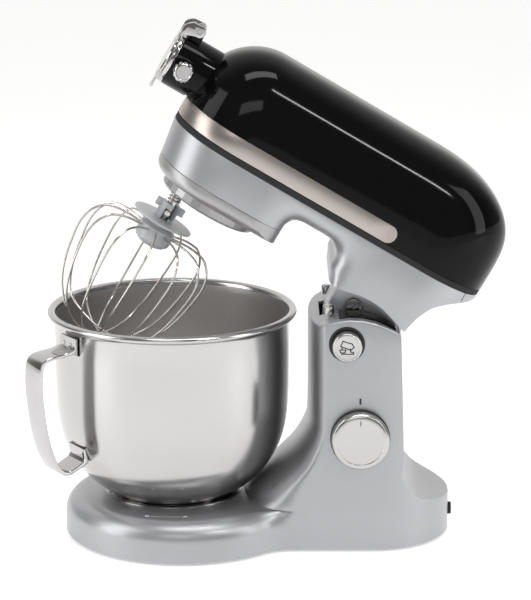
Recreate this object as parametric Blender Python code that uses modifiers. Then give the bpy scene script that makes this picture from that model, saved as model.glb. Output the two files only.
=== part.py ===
"""Tilt-head stand mixer: cast stand, locking bowl, tilting head, planetary whisk drive.

Drawn in millimetres on a bench frame whose origin is on the table under the bowl's axis,
-X towards the front. Head pieces are drawn with the head closed and hang from an empty on
the hinge, which is turned up by HEAD_TILT. One empty places the whole bench frame.
"""
import math

import bmesh
import bpy
from mathutils import Matrix, Vector

MM = 0.001
BENCH_X = -86.9            # bowl axis from the middle of the object's length
HEAD_TILT = 30.5           # degrees, head raised
HINGE_X, HINGE_Z = 200.0, 196.0
GAP = 0.3                  # running and resting gap between neighbours

BASE_FRONT_R, BASE_FRONT_X = 110.0, 10.0
BASE_WAIST_R = 40.0
BASE_SIDE = 71.0           # half-width of the straight part
BASE_REAR_X, BASE_REAR_END = 184.0, 254.5
BASE_BOTTOM, BASE_WALL_TOP, BASE_TOP = 2.5, 20.0, 38.0
COLUMN_TOP = 211.0
COLUMN_NARROWING = 0.07    # share of the width lost between base and column top
CAST_WALL = 3.0

BOWL_R = 107.4
BOWL_RIM_R, BOWL_RIM_Z = 114.0, 209.0
BOWL_FOOT_R = 51.0
HANDLE_AZIMUTH = 214.0     # degrees from +X, seen from above
HANDLE_WIDTH = 27.0

HEAD_SIDE = 62.0
HEAD_FRONT, HEAD_REAR = -66.6, 252.7
HEAD_FRONT_LOW = -61.0     # front face at the gearbox seam
HEAD_NOSE_X, HEAD_TAIL_X = 0.0, 188.0
COVER_SEAM, HOUSING_TOP = 229.0, 262.7
STRIPE_TOP, BAND_TOP = 268.4, 285.2
BAND_REAR = 153.0
COVER_TOP = 359.6
GEARBOX_BOTTOM = 215.5

HUB_Z, HUB_R, HUB_FRONT = 308.0, 25.5, -93.0
FLAP_PIN_X, FLAP_PIN_Z = -86.0, 341.0
SCREW_X = -82.0

ORBIT_R = 28.5
CARRIER_R, CARRIER_BOTTOM, CARRIER_TOP = 47.0, 205.6, 219.0
RING_TEETH, PLANET_TEETH = 42, 12
GEAR_MODULE = 2 * ORBIT_R / (RING_TEETH - PLANET_TEETH)
WIRE_R = 1.05
WIRE_COUNT = 6
TIP_STEP = 2.4              # height between neighbouring wires where they cross
PIN_Z = 183.0              # drive pin across the beater shaft

KNOB_X, KNOB_Z, KNOB_R = 170.4, 107.0, 26.3
BUTTON_X, BUTTON_Z, BUTTON_R = 158.0, 193.7, 13.4
LATCH_R = 63.0             # front edge of the tilt bracket, about the hinge
BRACKET_HALF = 22.0

SILVER = ((0.42, 0.42, 0.44), 0.35, 0.8)
BLACK = ((0.006, 0.006, 0.008), 0.08, 0.0)
BRUSHED = ((0.55, 0.50, 0.48), 0.32, 1.0)
CHROME = ((0.75, 0.75, 0.76), 0.08, 1.0)
STEEL = ((0.50, 0.49, 0.48), 0.25, 1.0)
RUBBER = ((0.02, 0.02, 0.02), 0.8, 0.0)
PLASTIC = ((0.05, 0.05, 0.055), 0.5, 0.0)
HUB_GREY = ((0.50, 0.53, 0.56), 0.45, 0.0)
BRASS = ((0.62, 0.45, 0.20), 0.3, 1.0)
BOARD = ((0.03, 0.18, 0.07), 0.6, 0.0)

for old in list(bpy.data.objects):
    bpy.data.objects.remove(old, do_unlink=True)

parts = bpy.data.collections.new("stand_mixer")
bpy.context.scene.collection.children.link(parts)
cutters = bpy.data.collections.new("cutters")
bpy.context.scene.collection.children.link(cutters)


def empty(name, place, parent=None, turn=0.0):
    """An empty at a place in millimetres, turned about Y by degrees."""
    handle = bpy.data.objects.new(name, None)
    parts.objects.link(handle)
    handle.parent = parent
    handle.location = Vector(place) * MM
    handle.rotation_euler = (0.0, math.radians(turn), 0.0)
    return handle


bench = empty("bench_frame", (BENCH_X, 0.0, 0.0))
head_hinge = empty("head_hinge", (HINGE_X, 0.0, HINGE_Z), bench, HEAD_TILT)
head = empty("head_closed_frame", (-HINGE_X, 0.0, -HINGE_Z), head_hinge)


def dress(body, finish):
    """Give a body its own Principled material."""
    colour, roughness, metallic = finish
    paint = bpy.data.materials.new(body.name + "_finish")
    paint.use_nodes = True
    shader = paint.node_tree.nodes["Principled BSDF"]
    shader.inputs["Base Color"].default_value = (*colour, 1.0)
    shader.inputs["Roughness"].default_value = roughness
    shader.inputs["Metallic"].default_value = metallic
    body.data.materials.append(paint)


def body_from(name, bm, parent, finish, place=(0, 0, 0)):
    """Turn a bmesh drawn in millimetres into a named part, or a cutter where finish is None."""
    bmesh.ops.scale(bm, verts=bm.verts, vec=(MM, MM, MM))
    mesh = bpy.data.meshes.new(name)
    bm.to_mesh(mesh)
    bm.free()
    body = bpy.data.objects.new(name, mesh)
    body.parent = parent
    body.location = Vector(place) * MM
    if finish is None:
        cutters.objects.link(body)
        body.hide_render = True
        body.display_type = "WIRE"
    else:
        parts.objects.link(body)
        mesh.shade_smooth()
        mesh.set_sharp_from_angle(angle=math.radians(35))
        dress(body, finish)
    return body


def turned(name, profile, parent, finish, place=(0, 0, 0), axis="Z", steps=32):
    """A turned piece: (radius, height) points down the outer side, then up the inner one."""
    bm = bmesh.new()
    corners = [bm.verts.new((radius, 0.0, height)) for radius, height in profile]
    for first, second in zip(corners, corners[1:]):
        bm.edges.new((first, second))
    if profile[0][0] > 0.0:
        bm.edges.new((corners[-1], corners[0]))
    body = body_from(name, bm, parent, finish, place)
    screw = body.modifiers.new("turn", "SCREW")
    screw.steps = steps
    screw.render_steps = steps
    screw.use_merge_vertices = True
    screw.merge_threshold = 1e-5
    if axis == "X":
        body.rotation_euler = (0.0, math.radians(90), 0.0)
    if axis == "Y":
        body.rotation_euler = (math.radians(-90), 0.0, 0.0)
    return body


def ring_profile(inner, outer, low, high):
    """Section of a plain ring or bush."""
    return [(outer, high), (outer, low), (inner, low), (inner, high)]


def rod_profile(radius, low, high):
    """Section of a plain rod."""
    return [(0.0, high), (radius, high), (radius, low), (0.0, low)]


def prism(name, outline, low, high, parent, finish, plane="XY", place=(0, 0, 0)):
    """A flat outline given a thickness along the plane's normal."""
    bm = bmesh.new()
    if plane == "XY":
        corners = [bm.verts.new((a, b, low)) for a, b in outline]
        along = (0.0, 0.0, high - low)
    elif plane == "XZ":
        corners = [bm.verts.new((a, low, b)) for a, b in outline]
        along = (0.0, high - low, 0.0)
    else:
        corners = [bm.verts.new((low, a, b)) for a, b in outline]
        along = (high - low, 0.0, 0.0)
    face = bm.faces.new(corners)
    grown = bmesh.ops.extrude_face_region(bm, geom=[face])
    raised = [item for item in grown["geom"] if isinstance(item, bmesh.types.BMVert)]
    bmesh.ops.translate(bm, verts=raised, vec=along)
    bmesh.ops.recalc_face_normals(bm, faces=bm.faces)
    return body_from(name, bm, parent, finish, place)


def block(name, low, high, parent, finish):
    """A rectangular block between two corners."""
    bm = bmesh.new()
    size = [b - a for a, b in zip(low, high)]
    middle = [(a + b) / 2 for a, b in zip(low, high)]
    bmesh.ops.create_cube(bm, size=1.0)
    bmesh.ops.scale(bm, verts=bm.verts, vec=size)
    bmesh.ops.translate(bm, verts=bm.verts, vec=middle)
    return body_from(name, bm, parent, finish)


def rod_cutter(name, radius, start, end, parent, steps=32):
    """A round cutter between two points."""
    bm = bmesh.new()
    start = Vector(start)
    run = Vector(end) - start
    turn = run.to_track_quat("Z", "Y").to_matrix().to_4x4()
    place = Matrix.Translation(start + run / 2) @ turn
    bmesh.ops.create_cone(bm, cap_ends=True, segments=steps, radius1=radius, radius2=radius,
                          depth=run.length, matrix=place)
    return body_from(name, bm, parent, None)


def skin(bm, loops):
    """Join a stack of loops that have the same number of points; returns the rings of corners."""
    rings = [[bm.verts.new(point) for point in loop] for loop in loops]
    count = len(rings[0])
    for lower, upper in zip(rings, rings[1:]):
        for i in range(count):
            j = (i + 1) % count
            bm.faces.new((lower[i], lower[j], upper[j], upper[i]))
    return rings


def loft(name, loops, parent, finish):
    """Skin a stack of loops and close both ends."""
    bm = bmesh.new()
    rings = skin(bm, loops)
    bm.faces.new(list(reversed(rings[0])))
    bm.faces.new(rings[-1])
    bmesh.ops.connect_verts_nonplanar(bm, faces=bm.faces[:], angle_limit=0.001)
    bmesh.ops.recalc_face_normals(bm, faces=bm.faces)
    return body_from(name, bm, parent, finish)


def boolean(body, tool, operation="DIFFERENCE"):
    """Cut a body with a tool, or join the tool to it."""
    step = body.modifiers.new(operation.lower(), "BOOLEAN")
    step.operation = operation
    step.object = tool
    step.solver = "EXACT"


def arc(cx, cy, radius, start, end, steps):
    """Points on an arc, degrees, ends included."""
    points = []
    for i in range(steps + 1):
        angle = math.radians(start + (end - start) * i / steps)
        points.append((cx + radius * math.cos(angle), cy + radius * math.sin(angle)))
    return points


# ---------------------------------------------------------------- stand

WAIST_REACH = BASE_FRONT_R + BASE_WAIST_R
WAIST_X = BASE_FRONT_X + math.sqrt(WAIST_REACH ** 2 - (BASE_SIDE + BASE_WAIST_R) ** 2)
WAIST_ANGLE = math.degrees(math.asin((BASE_SIDE + BASE_WAIST_R) / WAIST_REACH))
EDGE_R = BASE_TOP - BASE_WALL_TOP


def base_half_width(x):
    """Half-width of the base's plan at x, behind the front circle's middle."""
    if x > BASE_REAR_X:
        return math.sqrt(BASE_SIDE ** 2 - (x - BASE_REAR_X) ** 2)
    if x >= WAIST_X:
        return BASE_SIDE
    side = BASE_SIDE + BASE_WAIST_R
    return side - math.sqrt(BASE_WAIST_R ** 2 - (x - WAIST_X) ** 2)


def narrowing(z):
    """Share of the base's width that the column keeps at height z."""
    rise = max(0.0, z - BASE_TOP) / (COLUMN_TOP - BASE_TOP)
    return 1.0 - COLUMN_NARROWING * rise


def crown(x):
    """Height of the column's top: a flat deck in front, arched cheeks behind."""
    if x < 134.0:
        return 210.0
    return 216.0 - (x - 163.0) ** 2 / 140.0


def mirrored(half):
    """Close a half outline that starts and ends on the middle plane."""
    return half + [(x, -y, z) for x, y, z in reversed(half[1:-1])]


def base_loop(z, inset, inset_all=0.0):
    """Outline of the base; inset rounds the front edge only, inset_all shrinks it all round."""
    half = []
    steps = 7
    for i in range(steps + 1):
        angle = math.radians(180.0 + (WAIST_ANGLE - 180.0) * i / steps)
        reach = BASE_FRONT_R - inset - inset_all
        half.append((BASE_FRONT_X + reach * math.cos(angle), reach * math.sin(angle), z))
    for share in (0.4, 1.0):
        angle = math.radians(180.0 + WAIST_ANGLE + (90.0 - WAIST_ANGLE) * share)
        reach = BASE_WAIST_R + inset * (1.0 - share) + inset_all
        half.append((WAIST_X + reach * math.cos(angle),
                     BASE_SIDE + BASE_WAIST_R + reach * math.sin(angle), z))
    for x in (145.0, BASE_REAR_X):
        half.append((x, BASE_SIDE - inset_all, z))
    end = BASE_REAR_END - inset_all
    for share in (0.3, 0.55, 0.78, 1.0):
        x = BASE_REAR_X + (end - BASE_REAR_X) * math.sin(share * math.pi / 2)
        y = math.sqrt((BASE_SIDE - inset_all) ** 2 - (x - BASE_REAR_X) ** 2)
        half.append((x, y, z))
    half.append((end, 0.0, z))
    return mirrored(half)


def column_loop(z, front, nose, back, top=False):
    """Outline of the column: half an ellipse in front, straight sides, cut-off rear arc."""
    half = []
    keep = narrowing(z)
    nose_end = front + nose
    nose_half = base_half_width(nose_end) * keep
    steps = 9
    for i in range(steps + 1):
        angle = math.pi * (1.0 - i / steps / 2)
        half.append((nose_end + nose * math.cos(angle), nose_half * math.sin(angle), z))
    for x in (max(145.0, nose_end + 6.0), BASE_REAR_X):
        half.append((x, base_half_width(x) * keep, z))
    for share in (0.3, 0.55, 0.78, 1.0):
        x = BASE_REAR_X + (back - BASE_REAR_X) * math.sin(share * math.pi / 2)
        half.append((x, base_half_width(x) * keep, z))
    half.append((back, 0.0, z))
    if top:
        half = [(x, y, crown(x)) for x, y, _ in half]
    return mirrored(half)


COLUMN_LEVELS = [           # height, front, nose depth, rear face
    (38.3, 65.5, 45.5, 253.0), (43.5, 69.0, 43.0, 232.0), (51.0, 75.5, 40.5, 220.0),
    (67.0, 94.0, 28.0, 209.5), (83.0, 110.0, 21.0, 210.0), (106.0, 122.0, 17.0, 209.7),
    (130.0, 124.0, 16.0, 209.0), (190.0, 124.0, 16.0, 207.0)]


def stand_housing():
    """Die-cast base and column in one hollow shell, open below."""
    loops = [base_loop(BASE_BOTTOM, 0.0), base_loop(BASE_WALL_TOP, 0.0)]
    for angle in (32.0, 62.0, 90.0):
        lift = EDGE_R * math.sin(math.radians(angle))
        inset = EDGE_R * (1.0 - math.cos(math.radians(angle)))
        loops.append(base_loop(BASE_WALL_TOP + lift, inset))
    for z, front, nose, back in COLUMN_LEVELS:
        loops.append(column_loop(z, front, nose, back))
    loops.append(column_loop(COLUMN_TOP, 124.0, 16.0, 206.6, top=True))
    bm = bmesh.new()
    top = skin(bm, loops)[-1]
    middle = len(top) // 2
    bm.faces.new((top[0], top[1], top[-1]))
    for i in range(1, middle - 2):
        bm.faces.new((top[i], top[i + 1], top[-i - 1], top[-i]))
    bm.faces.new([top[middle + i] for i in (-2, -1, 0, 1, 2)])
    bmesh.ops.recalc_face_normals(bm, faces=bm.faces)
    if sum(face.normal.z * face.calc_area() for face in bm.faces) < 0.0:
        bmesh.ops.reverse_faces(bm, faces=bm.faces)
    body = body_from("stand_housing", bm, bench, SILVER)
    wall = body.modifiers.new("cast_wall", "SOLIDIFY")
    wall.thickness = CAST_WALL * MM
    wall.offset = -1.0
    boolean(body, rod_cutter("seat_hole", 56.0, (0, 0, 30), (0, 0, 50), bench, 32))
    boolean(body, rod_cutter("knob_hole", 22.3, (KNOB_X, -80, KNOB_Z), (KNOB_X, -55, KNOB_Z), bench, 20))
    boolean(body, rod_cutter("button_hole", 16.2, (BUTTON_X, -80, BUTTON_Z),
                             (BUTTON_X, -50, BUTTON_Z), bench, 20))
    boolean(body, block("rear_notch", (196, -33.5, 184), (216, 33.5, 230), bench, None))
    boolean(body, block("deck_slot", (134, -25, 190), (153, 25, 224), bench, None))
    boolean(body, block("top_opening", (151, -57.3, 197), (202, 57.3, 226), bench, None))
    boolean(body, rod_cutter("gland_hole", 6.0, (240, 0, 18), (265, 0, 18), bench, 12))
    return body


def base_parts():
    """Bottom plate, rubber feet, bowl clamp plate and cord gland."""
    plate = [(x, y) for x, y, _ in base_loop(0.0, 0.0, CAST_WALL + 0.6)]
    prism("base_plate", plate, BASE_BOTTOM, 5.0, bench, PLASTIC)
    foot = [(0.0, 2.2), (11.0, 2.2), (12.0, 1.4), (11.4, 0.0), (0.0, 0.0)]
    places = [(-62, -52), (-62, 52), (200, -42), (200, 42)]
    for number, (x, y) in enumerate(places, 1):
        turned("foot_%d" % number, foot, bench, RUBBER, (x, y, 0), steps=16)
    seat = [(63.4, 38.9), (63.4, 38.3), (55.6, 38.3), (55.0, 26.0), (14.0, 26.0),
            (14.0, 27.4), (53.4, 27.4), (53.6, 36.6), (57.0, 39.6)]
    plate = turned("bowl_clamp_plate", seat, bench, CHROME, steps=32)
    for number in range(3):
        angle = math.radians(HANDLE_AZIMUTH + 25.0 + 120.0 * number)
        tab = rod_cutter("clamp_tab_%d" % number, 2.0,
                         (51.7 * math.cos(angle), 51.7 * math.sin(angle), 33.6),
                         (54.4 * math.cos(angle), 54.4 * math.sin(angle), 33.6), bench, 12)
        boolean(plate, tab, "UNION")
    gland = [(5.7, 258.0), (5.7, 249.8), (9.0, 249.8), (9.0, 247.0), (3.5, 247.0), (3.5, 258.0)]
    turned("cord_gland", gland, bench, RUBBER, (0, 0, 18), "X", 14)


def cheek_cap(name, side):
    """Glossy insert that closes the column's top between a cheek and the bracket."""
    xs = [151.6 + 49.8 * i / 7 for i in range(8)]
    upper = [(x, crown(x) - 1.2) for x in xs]
    lower = [(x, crown(x) - 3.6) for x in reversed(xs)]
    low, high = sorted((side * 24.5, side * 57.0))
    body = prism(name, upper + lower, low, high, bench, BLACK, "XZ")
    near, far = sorted((side * 20.0, side * 33.5))
    boolean(body, block(name + "_relief", (186, near, 190), (216, far, 225), bench, None))


def hinge_set():
    """Hinge frame, pin and bushes, stop posts and the two top inserts."""
    ear = arc(HINGE_X, HINGE_Z, 6.8, -80, 110, 8) + [(172, 190), (160, 160), (160, 118), (203, 118)]
    frame = prism("hinge_frame", ear, -30.0, 30.0, bench, STEEL, "XZ")
    boolean(frame, block("frame_gap", (140, -27, 121), (220, 27, 230), bench, None))
    boolean(frame, rod_cutter("bush_bore", 5.4, (HINGE_X, -40, HINGE_Z), (HINGE_X, 40, HINGE_Z), bench, 20))
    turned("hinge_pin", rod_profile(3.6, -32.5, 32.5), bench, STEEL, (HINGE_X, 0, HINGE_Z), "Y", 20)
    bush = ring_profile(3.9, 5.1, -3.0, 3.0)
    for name, y in (("hinge_bush_near", -28.6), ("hinge_bush_far", 28.6)):
        turned(name, bush, bench, BRASS, (HINGE_X, y, HINGE_Z), "Y", 20)
    post = [(0.0, 10.2), (4.2, 10.2), (5.0, 9.4), (5.0, 1.7), (0.0, 1.7)]
    for name, y in (("stop_post_near", -38.0), ("stop_post_far", 38.0)):
        turned(name, post, bench, STEEL, (142.0, y, crown(142.0)), steps=20)
    cheek_cap("column_cap_near", -1.0)
    cheek_cap("column_cap_far", 1.0)


def coil(name, radius, wire, low, high, turns, parent, finish, place=(0, 0, 0), axis="Z"):
    """A round-wire compression spring as a polyline tube."""
    curve = bpy.data.curves.new(name, "CURVE")
    curve.dimensions = "3D"
    curve.bevel_depth = wire * MM
    curve.bevel_resolution = 0
    curve.use_fill_caps = True
    steps = int(turns * 10)
    line = curve.splines.new("POLY")
    line.points.add(steps)
    for i in range(steps + 1):
        angle = 2 * math.pi * turns * i / steps
        height = low + (high - low) * i / steps
        point = Vector((radius * math.cos(angle), radius * math.sin(angle), height)) * MM
        line.points[i].co = (*point, 1.0)
    body = bpy.data.objects.new(name, curve)
    body.parent = parent
    body.location = Vector(place) * MM
    if axis == "Y":
        body.rotation_euler = (math.radians(-90), 0.0, 0.0)
    parts.objects.link(body)
    dress(body, finish)


def controls():
    """Speed knob and switch, tilt button with guide, spring and latch pawl, control board."""
    at_knob = (KNOB_X, 0, KNOB_Z)
    at_button = (BUTTON_X, 0, BUTTON_Z)
    bezel = [(22.0, -62.0), (22.0, -70.05), (27.0, -70.05), (27.0, -71.0), (4.4, -71.0), (4.4, -62.0)]
    turned("knob_bezel", bezel, bench, PLASTIC, at_knob, "Y", 28)
    knob = [(0.0, -52.0), (3.0, -52.0), (3.0, -71.3), (KNOB_R, -71.3), (KNOB_R, -79.8), (24.8, -82.0), (23.3, -82.6), (0.0, -82.6)]
    turned("speed_knob", knob, bench, CHROME, at_knob, "Y", 28)
    switch = [(0.0, -46.0), (14.0, -46.0), (14.0, -61.7), (3.4, -61.7), (3.4, -51.0), (0.0, -51.0)]
    turned("speed_switch", switch, bench, PLASTIC, at_knob, "Y", 16)
    button = [(0.0, -45.2), (2.5, -45.2), (2.5, -56.0), (BUTTON_R, -56.0), (BUTTON_R, -78.2),
              (12.3, -79.5), (0.0, -79.5)]
    turned("tilt_button", button, bench, CHROME, at_button, "Y", 24)
    guide = [(15.9, -48.0), (15.9, -66.9), (13.8, -66.9), (13.8, -50.0), (3.2, -50.0), (3.2, -48.0)]
    turned("button_guide", guide, bench, PLASTIC, at_button, "Y", 20)
    coil("button_spring", 8.0, 0.6, -55.0, -51.0, 2.5, bench, STEEL, at_button, "Y")
    pawl = [(161.5, -44.6), (161.5, -40.6), (151.0, -34.5), (143.0, -24.0), (138.0, -24.0),
            (141.5, -38.0), (147.0, -43.0)]
    lever = prism("latch_pawl", pawl, 191.0, 196.0, bench, STEEL)
    boolean(lever, rod_cutter("pawl_trunnion", 1.9, (147, -38, 186), (147, -38, 201), bench, 10), "UNION")
    block("control_board", (140, 44, 60), (185, 45.6, 120), bench, BOARD)


# ---------------------------------------------------------------- bowl

def bowl():
    """Drawn steel bowl with rolled rim, foot ring with bayonet lugs, and strap handle."""
    wall = [(0.0, 38.4), (50.0, 39.0), (62.0, 44.8), (78.6, 58.2), (94.4, 81.0), (103.7, 113.5),
            (105.8, 150.0), (106.0, 208.0), (109.5, 211.2), (112.8, 210.7), (BOWL_RIM_R, BOWL_RIM_Z),
            (112.8, 207.0), (108.2, 205.4), (BOWL_R, 202.0), (BOWL_R, 150.0), (105.3, 113.0),
            (96.0, 80.0), (80.0, 57.0), (63.0, 43.0), (50.5, 37.2), (0.0, 36.6)]
    turned("bowl_shell", wall, bench, STEEL, steps=36)
    ring = turned("bowl_foot_ring", ring_profile(47.5, BOWL_FOOT_R, 28.0, 36.3), bench, STEEL, steps=28)
    for number in range(3):
        angle = math.radians(HANDLE_AZIMUTH + 25.0 + 120.0 * number)
        lug = rod_cutter("lug_%d" % number, 1.2,
                         (49.3 * math.cos(angle), 49.3 * math.sin(angle), 29.8),
                         (52.9 * math.cos(angle), 52.9 * math.sin(angle), 29.8), bench, 10)
        boolean(ring, lug, "UNION")
    tab_in, tab_out = BOWL_R + 0.3, BOWL_R + 2.9
    strap = [(tab_in, 183.2), (tab_in, 200.0), (tab_out, 200.0), (110.8, 190.2), (120.0, 188.2),
             (133.0, 187.0), (139.0, 185.8), (143.5, 183.0), (146.0, 177.0), (147.0, 167.0),
             (147.0, 154.0), (145.6, 139.3), (143.2, 121.2), (140.0, 106.5), (136.0, 93.3),
             (130.8, 82.5), (126.0, 76.5), (121.0, 74.6), (115.5, 75.2), (107.5, 78.6),
             (98.0, 83.0), (101.5, 97.0), (103.9, 96.6), (102.6, 87.4), (104.5, 84.4),
             (109.5, 81.8), (116.5, 78.6), (120.5, 78.0), (124.0, 79.6), (128.2, 84.6),
             (133.0, 94.8), (136.9, 107.6), (140.0, 122.0), (142.3, 140.0), (143.6, 154.0),
             (143.6, 166.0), (142.9, 174.0), (141.5, 179.5), (138.5, 182.3), (133.0, 183.7),
             (120.5, 184.9), (111.4, 186.4), (tab_out, 183.2)]
    handle = prism("bowl_handle", strap, -HANDLE_WIDTH / 2, HANDLE_WIDTH / 2, bench, CHROME, "XZ")
    handle.rotation_euler = (0.0, 0.0, math.radians(HANDLE_AZIMUTH))


# ---------------------------------------------------------------- head, drawn closed

def rounded(share, power):
    """Height of a unit superellipse at a share of its reach."""
    return max(0.0, 1.0 - abs(share) ** power) ** (1.0 / power)


def head_half_width(x, front=HEAD_FRONT):
    """Half-width of the head's plan at x."""
    if x < HEAD_NOSE_X:
        return HEAD_SIDE * rounded((HEAD_NOSE_X - x) / (HEAD_NOSE_X - front), 2.15)
    if x > HEAD_TAIL_X:
        return HEAD_SIDE * rounded((x - HEAD_TAIL_X) / (HEAD_REAR - HEAD_TAIL_X), 2.3)
    return HEAD_SIDE


def head_loop(z, front=HEAD_FRONT, inset=0.0, rear=HEAD_REAR):
    """Plan outline of the head at height z, shrunk by inset."""
    half = []
    side = HEAD_SIDE - inset
    nose = HEAD_NOSE_X - front - inset
    tail = rear - inset - HEAD_TAIL_X
    for i in range(9):
        angle = math.pi / 2 * i / 8
        half.append((HEAD_NOSE_X - nose * math.cos(angle) ** (2 / 2.15),
                     side * math.sin(angle) ** (2 / 2.15), z))
    half.append((95.0, side, z))
    for i in range(8):
        angle = math.pi / 2 * i / 7
        half.append((HEAD_TAIL_X + tail * math.sin(angle) ** (2 / 2.3),
                     side * max(0.0, math.cos(angle)) ** (2 / 2.3), z))
    half[-1] = (HEAD_TAIL_X + tail, 0.0, z)
    half[0] = (HEAD_NOSE_X - nose, 0.0, z)
    return mirrored(half)


TUNNEL_MIDDLE = [(64, 190), (64, 215), (64, 230.6), (65, 237), (69, 242.5), (77, 245), (88, 245),
                 (100, 245), (109, 243), (115.5, 237), (117.8, 230), (118, 223), (122, 215), (131.5, 190)]
TUNNEL_SIDE = [(34, 190), (36, 216), (39.4, 230.6), (44, 245), (52.6, 255.6), (64, 259), (85, 258.5),
               (103, 258), (118, 257.7), (128, 252), (135, 241.5), (137, 226), (135, 212.6), (134, 190)]
FLARE_START = 44.0


def arch_cutter(name):
    """The opening between gearbox and neck, flared towards both side walls."""
    loops = []
    for y in (-70, -HEAD_SIDE, -60, -56, -50, -FLARE_START, FLARE_START, 50, 56, 60, HEAD_SIDE, 70):
        reach = min(1.0, (abs(y) - FLARE_START) / (HEAD_SIDE - FLARE_START))
        share = 1.0 - math.sqrt(1.0 - reach ** 2)
        loops.append([(a[0] + (b[0] - a[0]) * share, y, a[1] + (b[1] - a[1]) * share)
                      for a, b in zip(TUNNEL_MIDDLE, TUNNEL_SIDE)])
    return loft(name, loops, head, None)


def lower_housing():
    """Silver lower half of the head: gearbox wall, arch and neck."""
    loops = [head_loop(198.0, -57.0), head_loop(COVER_SEAM, HEAD_FRONT_LOW),
             head_loop(HOUSING_TOP, HEAD_FRONT)]
    body = loft("lower_housing", loops, head, SILVER)
    below = [(-80, 185), (-80, COVER_SEAM + GAP), (95, COVER_SEAM + GAP), (95, 207), (115, 210.4),
             (124, 211.1), (132.5, 211.8), (140, 213.2), (147, 214.9), (155, 216.2), (163, 216.8), (171, 216.3), (179, 214.9),
             (190, 211.7), (204, 207), (207, 222), (214, 237), (231, 250), (244, 256),
             (253, 260.5), (270, 261), (270, 185)]
    boolean(body, prism("under_head", below, -80, 80, head, None, "XZ"))
    boolean(body, arch_cutter("housing_arch"))
    boolean(body, rod_cutter("gear_room", 55.0, (0, 0, 215), (0, 0, 270), head, 36))
    boolean(body, block("roof_pocket", (50, -43, 249), (143, 43, 270), head, None))
    boolean(body, block("neck_pocket", (141, -58.5, 219.5), (188, 58.5, 272), head, None))
    boolean(body, block("tail_pocket", (187, -46, 254), (236, 46, 271), head, None))
    boolean(body, block("bracket_slot", (137.5, -22.4, 195), (216, 22.4, 221), head, None))
    for name, side in (("post_notch_near", -1.0), ("post_notch_far", 1.0)):
        near, far = sorted((side * 31.5, side * 44.5))
        boolean(body, block(name, (129.5, near, 195), (149, far, 226), head, None))


def gearbox_cover():
    """Cast cover under the gearbox, with the planetary head's opening."""
    loops = [head_loop(GEARBOX_BOTTOM, -60.0, 8.0), head_loop(217.8, -60.2, 3.0),
             head_loop(222.5, -60.4), head_loop(COVER_SEAM, HEAD_FRONT_LOW)]
    body = loft("gearbox_cover", loops, head, SILVER)
    boolean(body, block("cover_rear_cut", (90, -70, 200), (270, 70, 240), head, None))
    boolean(body, arch_cutter("cover_arch"))
    boolean(body, rod_cutter("cover_room", 55.0, (0, 0, 219), (0, 0, 240), head, 36))
    boolean(body, rod_cutter("carrier_hole", CARRIER_R + 0.5, (0, 0, 200), (0, 0, 230), head, 36))


def cover_height(x):
    """Height of the cover's ridge at x."""
    if x < -8.0:
        return 300.0 + (COVER_TOP - 300.0) * rounded((-8.0 - x) / (-8.0 - HEAD_FRONT), 1.95)
    if x > 150.0:
        return 290.0 + (COVER_TOP - 290.0) * rounded((x - 150.0) / (HEAD_REAR - 150.0), 2.4)
    return COVER_TOP


def cover_skin():
    """Open skin of the top cover: arched sections along the head, closed at both ends."""
    stations = [HEAD_FRONT * math.cos(math.pi / 2 * share)
                for share in (0.06, 0.2, 0.38, 0.56, 0.76, 1.0)]
    stations += [75.0, 150.0, 188.0, 210.0, 227.0, 240.0, 248.0, 252.2]
    bm = bmesh.new()
    rows = []
    count = 11
    for x in stations:
        width = head_half_width(x)
        rise = cover_height(x) - STRIPE_TOP
        row = []
        for i in range(count):
            angle = math.pi * i / (count - 1)
            y = width * math.copysign(abs(math.cos(angle)) ** (2 / 2.9), math.cos(angle))
            z = STRIPE_TOP + rise * abs(math.sin(angle)) ** (2 / 2.5)
            row.append(bm.verts.new((x, y, z)))
        rows.append(row)
    for first, second in zip(rows, rows[1:]):
        for i in range(count - 1):
            bm.faces.new((first[i], first[i + 1], second[i + 1], second[i]))
    bm.faces.new(list(reversed(rows[0])))
    bm.faces.new(rows[-1])
    bmesh.ops.recalc_face_normals(bm, faces=bm.faces)
    if sum(face.normal.z * face.calc_area() for face in bm.faces) < 0.0:
        bmesh.ops.reverse_faces(bm, faces=bm.faces)
    return bm


def head_ring(name, outer, inner, low, high, finish, rear=None):
    """A ring that follows the head's plan between two insets, cut off behind rear."""
    body = loft(name, [head_loop(low, inset=outer), head_loop(high, inset=outer)], head, finish)
    inside = [head_loop(low - 2.0, inset=inner), head_loop(high + 2.0, inset=inner)]
    boolean(body, loft(name + "_inside", inside, head, None))
    if rear is not None:
        boolean(body, block(name + "_rear", (rear, -80, low - 5), (290, 80, high + 5), head, None))
    return body


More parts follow.
